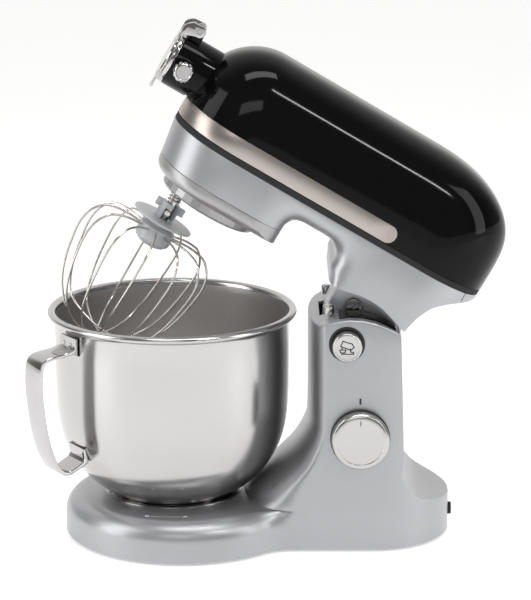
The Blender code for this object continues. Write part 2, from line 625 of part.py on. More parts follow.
def top_cover():
    """Glossy top cover with the accessory hub's tube, screw boss and flap lug."""
    body = body_from("top_cover", cover_skin(), head, BLACK)
    wall = body.modifiers.new("moulded_wall", "SOLIDIFY")
    wall.thickness = 2.6 * MM
    wall.offset = -1.0
    boolean(body, rod_cutter("hub_tube", HUB_R, (HUB_FRONT, 0, HUB_Z), (-48, 0, HUB_Z), head, 28), "UNION")
    boolean(body, rod_cutter("screw_boss", 8.0, (SCREW_X, -37.6, HUB_Z - 1), (SCREW_X, -10, HUB_Z - 1),
                             head, 14), "UNION")
    lug = [(-92.7, 327), (-79.5, 327)] + arc(FLAP_PIN_X, FLAP_PIN_Z, 5.4, 0, 180, 8)
    boolean(body, prism("flap_lug", lug, -11.2, 11.2, head, None, "XZ"), "UNION")
    boolean(body, rod_cutter("hub_bore", 17.0, (-99, 0, HUB_Z), (-35, 0, HUB_Z), head, 20))
    boolean(body, rod_cutter("screw_bore", 4.0, (SCREW_X, -45, HUB_Z - 1), (SCREW_X, -8, HUB_Z - 1), head, 12))
    boolean(body, rod_cutter("lug_bore", 2.3, (FLAP_PIN_X, -20, FLAP_PIN_Z), (FLAP_PIN_X, 20, FLAP_PIN_Z),
                             head, 12))
    boolean(body, head_ring("band_rebate", -3.0, 1.6, STRIPE_TOP - 2.0, BAND_TOP + GAP, None, BAND_REAR + GAP))


def head_shells():
    """Covers, trim and the bracket that carries the head on its hinge."""
    lower_housing()
    gearbox_cover()
    top_cover()
    head_ring("trim_band", 0.0, 1.2, STRIPE_TOP + GAP, BAND_TOP, BRUSHED, BAND_REAR)
    head_ring("seam_gasket", 0.4, 3.0, HOUSING_TOP + GAP, STRIPE_TOP - GAP, RUBBER)
    edge = arc(HINGE_X, HINGE_Z, LATCH_R, 212, 166, 10)
    lug = arc(HINGE_X, HINGE_Z, 8.6, 50, -110, 10)
    side = edge + [(143.5, 214), (143.5, 230), (186, 230), (186, 214)] + lug
    bracket = prism("tilt_bracket", side, -BRACKET_HALF, BRACKET_HALF, head, SILVER, "XZ")
    bolt_x, bolt_z = 159.0, 197.0
    boolean(bracket, rod_cutter("pin_bore", 4.0, (HINGE_X, -40, HINGE_Z), (HINGE_X, 40, HINGE_Z), head, 20))
    boolean(bracket, rod_cutter("bolt_bore", 4.2, (bolt_x, -40, bolt_z), (bolt_x, 40, bolt_z), head, 16))
    for name, y in (("recess_near", -25.0), ("recess_far", 19.0)):
        boolean(bracket, rod_cutter(name, 9.0, (bolt_x, y, bolt_z), (bolt_x, y + 6.0, bolt_z), head, 24))
    bolt = [(0.0, 21.0), (7.0, 21.0), (7.0, 19.4), (3.8, 19.4), (3.8, -19.4), (7.0, -19.4),
            (7.0, -21.0), (0.0, -21.0)]
    turned("bracket_bolt", bolt, head, STEEL, (bolt_x, 0, bolt_z), "Y", 18)


def accessory_hub():
    """Bezel, hinged flap with its pin, clamp screw and power take-off shaft."""
    turned("hub_bezel", ring_profile(17.3, 25.3, -97.2, HUB_FRONT - GAP), head, CHROME, (0, 0, HUB_Z), "X", 28)
    flap = turned("hub_flap", rod_profile(26.0, -100.9, -98.1), head, CHROME, (0, 0, HUB_Z), "X", 28)
    ear = [(-100.9, 318), (-98.1, 318), (-98.1, 331.5)]
    ear += arc(FLAP_PIN_X, FLAP_PIN_Z, 6.0, -100, 100, 8) + [(-97, 344.5), (-100.9, 339)]
    for name, side in (("ear_near", -1.0), ("ear_far", 1.0)):
        near, far = sorted((side * 11.6, side * 14.6))
        boolean(flap, prism(name, ear, near, far, head, None, "XZ"), "UNION")
    boolean(flap, block("finger_tab", (-100.7, -9, 276), (-98.3, 9, 290), head, None), "UNION")
    boolean(flap, rod_cutter("ear_bore", 2.3, (FLAP_PIN_X, -20, FLAP_PIN_Z), (FLAP_PIN_X, 20, FLAP_PIN_Z),
                             head, 12))
    turned("flap_pin", rod_profile(2.0, -14.2, 14.2), head, STEEL, (FLAP_PIN_X, 0, FLAP_PIN_Z), "Y", 12)
    screw = [(0.0, -19.0), (3.6, -19.0), (3.6, -38.2), (9.2, -38.2), (9.2, -44.6), (7.6, -46.0), (0.0, -46.0)]
    turned("clamp_screw", screw, head, CHROME, (SCREW_X, 0, HUB_Z - 1), "Y", 18)
    shaft = [(0.0, -20.6), (14.1, -20.6), (21.4, -30.6), (8.0, -36.0), (5.0, -36.0), (5.0, -88.0), (0.0, -88.0)]
    turned("takeoff_shaft", shaft, head, STEEL, (0, 0, HUB_Z), "X", 20)


# ---------------------------------------------------------------- drive train

def gear_outline(teeth, radius_in, radius_out, fill, phase=0.0):
    """Straight-flanked gear outline; fill is the share of the pitch that a tooth takes at its tip."""
    points = []
    for tooth in range(teeth):
        middle = 2 * math.pi * tooth / teeth + phase
        root = math.pi / teeth * (0.5 + 0.12)
        tip = math.pi / teeth * fill
        for angle, radius in ((-root, radius_in), (-tip, radius_out), (tip, radius_out), (root, radius_in)):
            points.append((radius * math.cos(middle + angle), radius * math.sin(middle + angle)))
    return points


def drive_train():
    """Motor, bevel drive, carrier with its bearings, ring and planet gears."""
    motor = [(0.0, 205.0), (33.0, 205.0), (33.0, 112.0), (5.6, 112.0), (5.6, 132.0), (0.0, 132.0)]
    turned("motor", motor, head, STEEL, (0, 0, HUB_Z), "X", 20)
    cradle = [(-57, 263.2), (57, 263.2), (57, 267.0)] + arc(0, HUB_Z, 33.5, -25, -155, 10) + [(-57, 267.0)]
    prism("motor_cradle", cradle, 122, 134, head, STEEL, "YZ")
    pinion = [(0.0, 130.0), (5.0, 130.0), (5.0, 36.0), (8.0, 36.0), (21.4, 30.6), (14.1, 20.6), (0.0, 20.6)]
    turned("motor_shaft", pinion, head, STEEL, (0, 0, HUB_Z), "X", 20)
    plate = [(20.0, 270.0), (20.0, 254.0), (54.6, 254.0), (54.6, 250.0), (20.0, 250.0), (20.0, 236.0),
             (16.3, 236.0), (16.3, 270.0)]
    turned("gear_plate", plate, head, SILVER, steps=24)
    turned("carrier_bearing_lower", ring_profile(6.3, 16.0, 237.0, 246.0), head, STEEL, steps=16)
    turned("carrier_bearing_upper", ring_profile(6.3, 16.0, 260.0, 269.0), head, STEEL, steps=16)
    blank = turned("ring_gear", rod_profile(52.0, 221.5, 231.5), head, STEEL, steps=24)
    pitch_r = GEAR_MODULE * RING_TEETH / 2
    inside = gear_outline(RING_TEETH, pitch_r - 0.7 * GEAR_MODULE, pitch_r + 1.15 * GEAR_MODULE, 0.36,
                          math.pi)
    boolean(blank, prism("ring_gear_inside", inside, 215, 240, head, None))
    carrier = turned("planet_carrier", [(0.0, CARRIER_TOP), (CARRIER_R, CARRIER_TOP), (CARRIER_R, 207.6),
                                        (45.0, CARRIER_BOTTOM), (0.0, CARRIER_BOTTOM)], head, SILVER, steps=32)
    boolean(carrier, rod_cutter("beater_bore", 5.0, (-ORBIT_R, 0, 200), (-ORBIT_R, 0, 225), head, 20))
    boolean(carrier, rod_cutter("spring_room", 7.0, (-ORBIT_R, 0, 200), (-ORBIT_R, 0, 212), head, 24))
    turned("carrier_shaft", rod_profile(6.0, CARRIER_TOP + GAP, 295.0), head, STEEL, steps=20)
    crown_gear = [(18.0, 294.3), (30.0, 285.5), (30.0, 281.0), (6.3, 281.0), (6.3, 290.0), (16.0, 290.0)]
    turned("crown_gear", crown_gear, head, STEEL, steps=24)


def beater_and_whisk():
    """Beater shaft with planet gear, spring and cross pin, and the balloon whisk on it."""
    at = (-ORBIT_R, 0, 0)
    shaft = turned("beater_shaft", rod_profile(4.6, 176.0, 232.0), head, STEEL, at, steps=20)
    bore = rod_cutter("cross_bore", 3.1, (-ORBIT_R, -20, PIN_Z), (-ORBIT_R, 20, PIN_Z), head, 14)
    boolean(shaft, bore)
    pitch_r = GEAR_MODULE * PLANET_TEETH / 2
    teeth = gear_outline(PLANET_TEETH, pitch_r - 1.1 * GEAR_MODULE, pitch_r + 0.7 * GEAR_MODULE, 0.26)
    planet = prism("planet_gear", teeth, 222.0, 231.0, head, STEEL, place=at)
    boolean(planet, rod_cutter("planet_bore", 4.9, (-ORBIT_R, 0, 215), (-ORBIT_R, 0, 240), head, 20))
    turned("cross_pin", rod_profile(2.9, -10.8, 10.8), head, STEEL, (-ORBIT_R, 0, PIN_Z), "Y", 14)
    coil("beater_spring", 5.75, 0.8, 192.8, 210.9, 6.0, head, STEEL, at)
    hub = [(0.0, 171.0), (5.0, 171.0), (5.0, 191.5), (9.5, 191.5), (9.5, 176.2), (29.0, 175.3),
           (29.0, 173.6), (12.0, 172.6), (12.0, 168.5), (17.3, 166.3), (17.5, 156.5), (13.5, 150.2),
           (7.0, 148.2), (0.0, 148.0)]
    socket = turned("whisk_hub", hub, head, HUB_GREY, at, steps=24)
    for name, side in (("wing_front", -1.0), ("wing_rear", 1.0)):
        low, high = sorted((side * 9.0 - ORBIT_R, side * 14.0 - ORBIT_R))
        boolean(socket, block(name, (low, -4.0, 184.6), (high, 4.0, 191.2), head, None), "UNION")
    boolean(socket, block("pin_slot", (-ORBIT_R - 3.3, -12, PIN_Z - 7.2), (-ORBIT_R + 3.3, 12, 194), head, None))
    for number in range(WIRE_COUNT):
        whisk_wire(number)


def whisk_wire(number):
    """One balloon wire: out of the hub, down, under the axis and back up on the other side."""
    side = [(17.9, 163.0), (33.0, 163.6), (46.0, 161.8), (53.0, 158.6), (59.4, 151.4), (63.2, 141.5),
            (63.8, 130.0), (62.2, 117.0), (60.0, 104.5), (56.4, 91.5), (51.6, 80.0), (45.0, 69.5),
            (36.5, 59.5), (26.0, 52.0), (12.0, 46.3), (0.0, 44.5)]
    spread = 45.0              # within this radius the wires pass under each other, TIP_STEP apart
    side = side[:9] + [(r, z + TIP_STEP * number * max(0.0, 1.0 - (r / spread) ** 2)) for r, z in side[9:]]
    path = side + [(-r, z) for r, z in reversed(side[:-1])]
    curve = bpy.data.curves.new("whisk_wire_%d" % (number + 1), "CURVE")
    curve.dimensions = "3D"
    curve.bevel_depth = WIRE_R * MM
    curve.bevel_resolution = 1
    curve.use_fill_caps = True
    line = curve.splines.new("POLY")
    line.points.add(len(path) - 1)
    turn = math.pi * number / WIRE_COUNT
    for point, (r, z) in zip(line.points, path):
        point.co = (r * math.cos(turn) * MM, r * math.sin(turn) * MM, z * MM, 1.0)
    wire = bpy.data.objects.new(curve.name, curve)
    wire.parent = head
    wire.location = (-ORBIT_R * MM, 0.0, 0.0)
    parts.objects.link(wire)
    dress(wire, STEEL)


stand_housing()
base_parts()
hinge_set()
controls()
bowl()
head_shells()
accessory_hub()
drive_train()
beater_and_whisk()
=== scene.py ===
"""Tilt-head stand mixer: the looks of every piece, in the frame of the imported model."""
import math

import bmesh
import bpy
from mathutils import Matrix, Vector


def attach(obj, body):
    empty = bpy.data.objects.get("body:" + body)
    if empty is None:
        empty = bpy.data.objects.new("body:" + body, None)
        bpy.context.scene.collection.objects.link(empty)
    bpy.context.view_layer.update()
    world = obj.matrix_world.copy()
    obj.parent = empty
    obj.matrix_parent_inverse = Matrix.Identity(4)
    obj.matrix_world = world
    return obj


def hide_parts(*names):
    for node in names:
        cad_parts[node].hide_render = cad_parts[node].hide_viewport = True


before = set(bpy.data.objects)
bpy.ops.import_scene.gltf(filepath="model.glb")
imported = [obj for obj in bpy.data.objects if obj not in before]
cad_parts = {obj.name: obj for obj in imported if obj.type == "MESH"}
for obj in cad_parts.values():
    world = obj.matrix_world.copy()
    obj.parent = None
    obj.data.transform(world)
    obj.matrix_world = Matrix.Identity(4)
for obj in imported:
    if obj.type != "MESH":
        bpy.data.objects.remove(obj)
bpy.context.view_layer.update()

scene = bpy.context.scene
scene.view_settings.view_transform = "Standard"

# ---- Camera: stands in front of the knob side, a little above the raised head, with a long lens
# so that the base, the bowl and the head keep nearly their true proportions.
lens = bpy.data.cameras.new("camera")
lens.lens = 155.8
lens.sensor_width = 36.0
lens.clip_end = 50.0
camera = bpy.data.objects.new("camera", lens)
camera.location = (-0.0016, -2.300, 0.804)
camera.rotation_euler = (math.radians(75.7), 0.0, 0.0)
scene.collection.objects.link(camera)
scene.camera = camera


# ---- Studio: a pale floor under a room that is bright behind the mixer and dim in front and at
# the sides. A broad soft box stands on each side, one is overhead and one in front, and a narrow
# one runs along the head, so that polished faces show calm bands of light and dark.
def soft_box(name, place, aim, size, power, along=None):
    """A rectangular area light that looks at a point, its long side turned along a direction."""
    lamp = bpy.data.lights.new(name, "AREA")
    lamp.shape = "RECTANGLE"
    lamp.size = size[0]
    lamp.size_y = size[1]
    lamp.energy = power
    box = bpy.data.objects.new(name, lamp)
    box.location = place
    sight = Vector(place) - Vector(aim)
    box.rotation_euler = sight.to_track_quat("Z", "Y").to_euler()
    if along:
        back = sight.normalized()
        right = (Vector(along) - back * back.dot(Vector(along))).normalized()
        box.rotation_euler = Matrix((right, back.cross(right), back)).transposed().to_euler()
    scene.collection.objects.link(box)


soft_box("box_left", (-1.5, -0.5, 0.75), (-0.05, 0.0, 0.22), (0.8, 1.5), 12.0)
soft_box("box_right", (1.6, -0.7, 0.8), (0.0, 0.0, 0.2), (0.6, 1.4), 8.0)
soft_box("box_top", (0.1, -0.5, 1.7), (0.0, 0.0, 0.3), (1.2, 0.3), 8.0)
soft_box("box_strip", (0.84, -1.16, 1.34), (0.03, 0.0, 0.36), (0.62, 0.06), 4.5, (0.86, 0.0, -0.51))
soft_box("box_front", (-0.3, -2.6, 1.5), (0.0, 0.0, 0.15), (1.4, 0.5), 6.0)

room = bpy.data.worlds.new("room")
room.use_nodes = True
walls = room.node_tree
toward = walls.nodes.new("ShaderNodeTexCoord")
split = walls.nodes.new("ShaderNodeSeparateXYZ")
walls.links.new(toward.outputs["Generated"], split.inputs["Vector"])
side_wall = walls.nodes.new("ShaderNodeMath")
side_wall.operation = "ABSOLUTE"
walls.links.new(split.outputs["X"], side_wall.inputs[0])
levels = []
for source, near, far, level_near, level_far in ((side_wall.outputs[0], 0.55, 0.92, 1.0, 0.22),
                                                 (split.outputs["Y"], -0.3, 0.5, 0.20, 0.95)):
    fade = walls.nodes.new("ShaderNodeMapRange")
    fade.interpolation_type = "SMOOTHSTEP"
    walls.links.new(source, fade.inputs["Value"])
    for name, value in (("From Min", near), ("From Max", far), ("To Min", level_near), ("To Max", level_far)):
        fade.inputs[name].default_value = value
    levels.append(fade.outputs["Result"])
product = walls.nodes.new("ShaderNodeMath")
product.operation = "MULTIPLY"
for index, level in enumerate(levels):
    walls.links.new(level, product.inputs[index])
backdrop = walls.nodes["Background"]
backdrop.inputs["Color"].default_value = (1.0, 0.99, 0.975, 1.0)
walls.links.new(product.outputs[0], backdrop.inputs["Strength"])
scene.world = room


# The finishes are built from nodes. A Pattern is a shader value that takes ordinary arithmetic;
# a Finish is one material, and its node() puts in any other node.
class Pattern:
    """A shader value: arithmetic on it adds the Math nodes."""

    def __init__(self, finish, socket):
        self.finish = finish
        self.socket = socket

    def maths(self, operation, first, second=0.0, third=0.0):
        return self.finish.node("ShaderNodeMath", {"operation": operation},
                                {"Value": first, "Value_001": second, "Value_002": third})

    def __add__(self, other):
        return self.maths("ADD", self, other)

    def __sub__(self, other):
        return self.maths("SUBTRACT", self, other)

    def __mul__(self, other):
        return self.maths("MULTIPLY", self, other)

    def __truediv__(self, other):
        return self.maths("DIVIDE", self, other)

    def __rsub__(self, other):
        return self.maths("SUBTRACT", other, self)

    __radd__ = __add__
    __rmul__ = __mul__


class Finish:
    """One material: set values on the shader at once, patterns where they vary."""

    def __init__(self, name, colour, roughness, metallic=0.0, **extra):
        self.material = bpy.data.materials.new(name)
        self.material.use_nodes = True
        self.tree = self.material.node_tree
        self.shader = self.tree.nodes["Principled BSDF"]
        self.shader.inputs["Base Color"].default_value = (*colour, 1.0)
        self.shader.inputs["Roughness"].default_value = roughness
        self.shader.inputs["Metallic"].default_value = metallic
        for socket, value in extra.items():
            self.shader.inputs[socket.replace("_", " ")].default_value = value
        self.colour = colour
        self.place = self.node("ShaderNodeTexCoord", {}, {}, "Object")

    def node(self, kind, settings, sockets, output=None):
        made = self.tree.nodes.new(kind)
        for name, value in settings.items():
            setattr(made, name, value)
        inputs = {socket.identifier: socket for socket in made.inputs}
        for name, value in sockets.items():
            if isinstance(value, Pattern):
                self.tree.links.new(value.socket, inputs[name])
            else:
                inputs[name].default_value = value
        outputs = {socket.identifier: socket for socket in made.outputs}
        return Pattern(self, outputs[output] if output else made.outputs[0])

    def turned(self, degrees=(0.0, 0.0, 0.0), middle=(0.0, 0.0, 0.0), scale=(1.0, 1.0, 1.0)):
        """Object coordinates about a point, turned, then scaled along each axis."""
        angles = tuple(math.radians(angle) for angle in degrees)
        moved = self.node("ShaderNodeVectorMath", {"operation": "SUBTRACT"},
                          {"Vector": self.place, "Vector_001": middle})
        swung = self.node("ShaderNodeMapping", {}, {"Vector": moved, "Rotation": angles})
        return self.node("ShaderNodeVectorMath", {"operation": "MULTIPLY"},
                         {"Vector": swung, "Vector_001": scale})

    def noise(self, scale, detail=2.0, roughness=0.5, vector=None):
        return self.node("ShaderNodeTexNoise", {},
                         {"Vector": vector or self.place, "Scale": scale, "Detail": detail,
                          "Roughness": roughness})

    def mix(self, factor, first, second):
        """Blend two colours by a pattern."""
        return self.node("ShaderNodeMix", {"data_type": "RGBA"},
                         {"Factor_Float": factor, "A_Color": first, "B_Color": second}, "Result_Color")

    def shades(self, factor, darker=0.85, lighter=1.1):
        """The base colour, from a darker to a lighter shade, by a pattern."""
        low = (*(channel * darker for channel in self.colour), 1.0)
        high = (*(min(1.0, channel * lighter) for channel in self.colour), 1.0)
        return self.mix(factor, low, high)

    def paint(self, **patterns):
        for name, pattern in patterns.items():
            self.tree.links.new(pattern.socket, self.shader.inputs[name.replace("_", " ")])

    def bump(self, height, depth, strength=1.0):
        """Relief of that depth in metres."""
        self.paint(Normal=self.node("ShaderNodeBump", {},
                                    {"Height": height, "Distance": depth, "Strength": strength}))


floor_finish = Finish("studio_floor", (0.88, 0.88, 0.885), 0.55,
                      Emission_Color=(1.0, 1.0, 1.0, 1.0), Emission_Strength=0.47)
floor_finish.paint(Base_Color=floor_finish.shades(floor_finish.noise(3.0, 3.0), 0.985, 1.01))
bm = bmesh.new()
bmesh.ops.create_grid(bm, x_segments=2, y_segments=2, size=9.0)
floor_mesh = bpy.data.meshes.new("floor")
bm.to_mesh(floor_mesh)
bm.free()
floor = bpy.data.objects.new("floor", floor_mesh)
floor.location.z = -0.0005
floor_mesh.materials.append(floor_finish.material)
scene.collection.objects.link(floor)

# ---- Stand: one pressure die-casting, base and column together, hollow and open below, with a
# fine satin metallic silver paint. It is drawn in millimetres about the bowl's axis.
MM = 0.001
BENCH = Matrix.Translation((-0.0869, 0.0, 0.0)) @ Matrix.Scale(MM, 4)


def ring_of(bm, points, closed=True):
    """A loop of edges through the points."""
    corners = [bm.verts.new(point) for point in points]
    pairs = list(zip(corners, corners[1:]))
    if closed:
        pairs.append((corners[-1], corners[0]))
    return [bm.edges.new(pair) for pair in pairs]


def skin(bm, loops, closed=True):
    """Bridge a stack of loops, each to the next; returns the first and the last one."""
    rings = [ring_of(bm, loop, closed) for loop in loops]
    for lower, upper in zip(rings, rings[1:]):
        bmesh.ops.bridge_loops(bm, edges=lower + upper)
    return rings[0], rings[-1]


def solid_loft(loops):
    """A closed body through a stack of loops."""
    bm = bmesh.new()
    first, last = skin(bm, loops)
    bmesh.ops.edgeloop_fill(bm, edges=first)
    bmesh.ops.edgeloop_fill(bm, edges=last)
    bmesh.ops.recalc_face_normals(bm, faces=bm.faces)
    return bm


def rod(radius, start, end, segments=64, bevel=0.0):
    """A round bar between two points, its rims rounded by bevel."""
    bm = bmesh.new()
    run = Vector(end) - Vector(start)
    bmesh.ops.create_cone(bm, cap_ends=True, segments=segments, radius1=radius, radius2=radius,
                          depth=run.length)
    if bevel:
        rims = [edge for edge in bm.edges if abs(edge.verts[0].co.z - edge.verts[1].co.z) < 1e-6]
        bmesh.ops.bevel(bm, geom=rims, offset=bevel, affect="EDGES", segments=4, profile=0.5, material=-1)
    turn = run.to_track_quat("Z", "Y").to_matrix().to_4x4()
    bm.transform(Matrix.Translation((Vector(start) + Vector(end)) / 2) @ turn)
    return bm


def brick(low, high, bevel=0.0):
    """A rectangular block between two corners."""
    bm = bmesh.new()
    bmesh.ops.create_cube(bm, size=1.0)
    bmesh.ops.scale(bm, verts=bm.verts, vec=[b - a for a, b in zip(low, high)])
    bmesh.ops.translate(bm, verts=bm.verts, vec=[(a + b) / 2 for a, b in zip(low, high)])
    if bevel:
        bmesh.ops.bevel(bm, geom=bm.edges[:], offset=bevel, affect="EDGES", segments=3, profile=0.5, material=-1)
    return bm


def slab(outline, low, high, plane="XY", bevel=0.0):
    """An outline extruded between two heights; its long edges can be rounded."""
    bm = bmesh.new()
    at = {"XY": lambda a, b: (a, b, low), "XZ": lambda a, b: (a, low, b), "YZ": lambda a, b: (low, a, b)}[plane]
    rim = ring_of(bm, [at(a, b) for a, b in outline])
    face = bmesh.ops.contextual_create(bm, geom=rim)["faces"][0]
    grown = bmesh.ops.extrude_face_region(bm, geom=[face])["geom"]
    along = {"XY": (0, 0, high - low), "XZ": (0, high - low, 0), "YZ": (high - low, 0, 0)}[plane]
    raised = [item for item in grown if isinstance(item, bmesh.types.BMVert)]
    bmesh.ops.translate(bm, verts=raised, vec=along)
    bmesh.ops.recalc_face_normals(bm, faces=bm.faces)
    if bevel:
        axis = {"XY": 2, "XZ": 1, "YZ": 0}[plane]
        rims = [edge for edge in bm.edges if abs(edge.verts[0].co[axis] - edge.verts[1].co[axis]) < 1e-6]
        bmesh.ops.bevel(bm, geom=rims, offset=bevel, affect="EDGES", segments=3, profile=0.5, material=-1)
    return bm


def spun(profile, axis="Z", at=(0, 0, 0), steps=96):
    """A turned piece from (radius, height) points."""
    bm = bmesh.new()
    closed = profile[0][0] > 0.0
    line = ring_of(bm, [(radius, 0.0, height) for radius, height in profile], closed)
    bmesh.ops.spin(bm, geom=line + bm.verts[:], cent=(0, 0, 0), axis=(0, 0, 1), angle=2 * math.pi,
                   steps=steps, use_merge=True)
    bmesh.ops.remove_doubles(bm, verts=bm.verts, dist=1e-4)
    bmesh.ops.recalc_face_normals(bm, faces=bm.faces)
    turn = {"Z": Matrix(), "X": Matrix.Rotation(math.radians(90), 4, "Y"),
            "Y": Matrix.Rotation(math.radians(-90), 4, "X")}[axis]
    bm.transform(Matrix.Translation(at) @ turn)
    return bm


def softened(profile, radius, steps=4):
    """Round every corner of a turned profile, except its ends on the axis."""
    rounded = []
    count = len(profile)
    for i, corner in enumerate(profile):
        corner = Vector(corner)
        before, after = Vector(profile[i - 1]), Vector(profile[(i + 1) % count])
        if profile[0][0] == 0.0 and i in (0, count - 1):
            rounded.append(tuple(corner))
            continue
        reach = min(radius, 0.45 * (before - corner).length, 0.45 * (after - corner).length)
        start = corner + (before - corner).normalized() * reach
        end = corner + (after - corner).normalized() * reach
        for k in range(steps + 1):
            t = k / steps
            rounded.append(tuple(start * (1 - t) ** 2 + corner * 2 * t * (1 - t) + end * t ** 2))
    return rounded


def shell(name, bm, place, tools=(), wall=0.0, bevel=0.0):
    """Settle a drawn shape into a mesh object in metres: wall thickness, cuts and joins, worked edges."""
    body = loose(name, bm, place)
    spare = []
    if wall:
        step = body.modifiers.new("wall", "SOLIDIFY")
        step.thickness = wall * MM
        step.offset = -1.0
    for operation, tool in tools:
        helper = loose(name + "_tool", tool, place)
        spare.append(helper)
        step = body.modifiers.new("cut", "BOOLEAN")
        step.operation = operation
        step.object = helper
        step.solver = "EXACT"
    if bevel:
        step = body.modifiers.new("edges", "BEVEL")
        step.width = bevel * MM
        step.segments = 2
        step.limit_method = "ANGLE"
        step.angle_limit = math.radians(50)
        step.use_clamp_overlap = False
    graph = bpy.context.evaluated_depsgraph_get()
    settled = bpy.data.meshes.new_from_object(body.evaluated_get(graph))
    cleaned = bmesh.new()
    cleaned.from_mesh(settled)
    bmesh.ops.remove_doubles(cleaned, verts=cleaned.verts, dist=2e-6)
    bmesh.ops.dissolve_degenerate(cleaned, edges=cleaned.edges, dist=1e-6)
    cleaned.to_mesh(settled)
    cleaned.free()
    body.modifiers.clear()
    body.data = settled
    for helper in spare:
        bpy.data.objects.remove(helper, do_unlink=True)
    return body


def loose(name, bm, place):
    """A mesh object at the origin from a shape drawn in millimetres."""
    bm.transform(place)
    mesh = bpy.data.meshes.new(name)
    bm.to_mesh(mesh)
    bm.free()
    made = bpy.data.objects.new(name, mesh)
    scene.collection.objects.link(made)
    return made


def fit(made, body, finish, slot, *nodes, crease=32.0):
    """Dress a settled piece, hang it on its body and let it stand for its CAD nodes."""
    made.data.materials.clear()
    made.data.materials.append(finish.material)
    made.data.shade_smooth()
    made.data.set_sharp_from_angle(angle=math.radians(crease))
    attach(made, body)
    if nodes:
        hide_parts(*nodes)
    return made


BASE_R, BASE_X = 110.0, 10.0
WAIST_R = 40.0
BASE_SIDE = 71.0
REAR_X, REAR_END = 184.0, 254.5
WAIST_X = BASE_X + math.sqrt((BASE_R + WAIST_R) ** 2 - (BASE_SIDE + WAIST_R) ** 2)
WAIST_ANGLE = math.asin((BASE_SIDE + WAIST_R) / (BASE_R + WAIST_R))
WALL_TOP, PLATEAU = 20.0, 38.0
NOSE_STEPS, WAIST_STEPS, REAR_STEPS = 36, 12, 12


def base_half_width(x):
    """Half-width of the base's plan behind its round front."""
    if x > REAR_X:
        return math.sqrt(max(0.0, BASE_SIDE ** 2 - (x - REAR_X) ** 2))
    if x >= WAIST_X:
        return BASE_SIDE
    return BASE_SIDE + WAIST_R - math.sqrt(WAIST_R ** 2 - (x - WAIST_X) ** 2)


def both_sides(half):
    """Close a half outline that starts and ends on the middle plane."""
    return half + [(x, -y, z) for x, y, z in reversed(half[1:-1])]


def base_outline(z, inset=0.0, shrink=0.0):
    """The base's plan; inset rounds its front edge, shrink draws it in all round."""
    half = []
    for i in range(NOSE_STEPS + 1):
        angle = math.pi + (WAIST_ANGLE - math.pi) * i / NOSE_STEPS
        reach = BASE_R - inset - shrink
        half.append((BASE_X + reach * math.cos(angle), reach * math.sin(angle), z))
    for i in range(1, WAIST_STEPS + 1):
        share = i / WAIST_STEPS
        angle = math.pi + WAIST_ANGLE + (math.pi / 2 - WAIST_ANGLE) * share
        reach = WAIST_R + inset * (1.0 - share) + shrink
        half.append((WAIST_X + reach * math.cos(angle), BASE_SIDE + WAIST_R + reach * math.sin(angle), z))
    for x in (128.0, 145.0, 165.0, REAR_X):
        half.append((x, BASE_SIDE - shrink, z))
    for i in range(1, REAR_STEPS + 1):
        x = REAR_X + (REAR_END - shrink - REAR_X) * math.sin(math.pi / 2 * i / REAR_STEPS)
        half.append((x, math.sqrt((BASE_SIDE - shrink) ** 2 - (x - REAR_X) ** 2), z))
    half.append((REAR_END - shrink, 0.0, z))
    return both_sides(half)


def crown(x):
    """Height of the column's top: a flat deck in front, arched cheeks behind."""
    if x < 134.0:
        return 210.0
    return 216.0 - (x - 163.0) ** 2 / 140.0


def column_outline(z, front, nose, back, below_crown=None, shrink=0.0):
    """The column's plan: half an ellipse in front, straight sides, cut-off rear arc."""
    keep = 1.0 - 0.07 * max(0.0, z - PLATEAU) / (211.0 - PLATEAU)
    nose_end = front + nose
    nose_half = base_half_width(nose_end) * keep
    half = []
    steps = NOSE_STEPS + WAIST_STEPS
    for i in range(steps + 1):
        angle = math.pi * (1.0 - i / steps / 2)
        half.append((nose_end + nose * math.cos(angle), nose_half * math.sin(angle), z))
    for share in (0.15, 0.45, 0.75, 1.0):
        x = nose_end + (REAR_X - nose_end) * share
        half.append((x, base_half_width(x) * keep, z))
    for i in range(1, REAR_STEPS + 1):
        x = REAR_X + (back - REAR_X) * math.sin(math.pi / 2 * i / REAR_STEPS)
        half.append((x, base_half_width(x) * keep, z))
    half.append((back, 0.0, z))
    if below_crown is not None:
        half = [(165.0 + (x - 165.0) * (1 - shrink / 42.0), y * (1 - shrink / 66.0), crown(x) - below_crown)
                for x, y, _ in half]
    return both_sides(half)


COLUMN_LEVELS = [           # height, front, nose depth, rear face
    (38.3, 65.5, 45.5, 253.0), (43.5, 69.0, 43.0, 232.0), (51.0, 75.5, 40.5, 220.0),
    (67.0, 94.0, 28.0, 209.5), (83.0, 110.0, 21.0, 210.0), (106.0, 122.0, 17.0, 209.7),
    (130.0, 124.0, 16.0, 209.0), (190.0, 124.0, 16.0, 207.0)]


def eased(levels, steps):
    """Points on a smooth curve through the levels."""
    rows = [levels[0]] + levels + [levels[-1]]
    points = []
    for a, b, c, d in zip(rows, rows[1:], rows[2:], rows[3:]):
        for k in range(steps):
            t = k / steps
            points.append(tuple(
                q + 0.5 * t * (r - p + t * (2 * p - 5 * q + 4 * r - s + t * (3 * (q - r) + s - p)))
                for p, q, r, s in zip(a, b, c, d)))
    return points + [levels[-1]]


def stand_solid(loops):
    """A closed body through the stand's loops, with the arched top bridged from side to side."""
    bm = bmesh.new()
    underside, rim = skin(bm, loops)
    bmesh.ops.edgeloop_fill(bm, edges=underside)
    corners = sorted({vert for edge in rim for vert in edge.verts}, key=lambda vert: vert.co.x)
    ends = {corners[0], corners[-1]}
    sides = [edge for edge in rim if not ends & set(edge.verts)]
    bmesh.ops.bridge_loops(bm, edges=sides)
    bmesh.ops.holes_fill(bm, edges=[edge for edge in bm.edges if edge.is_boundary], sides=0)
    bmesh.ops.recalc_face_normals(bm, faces=bm.faces)
    return bm


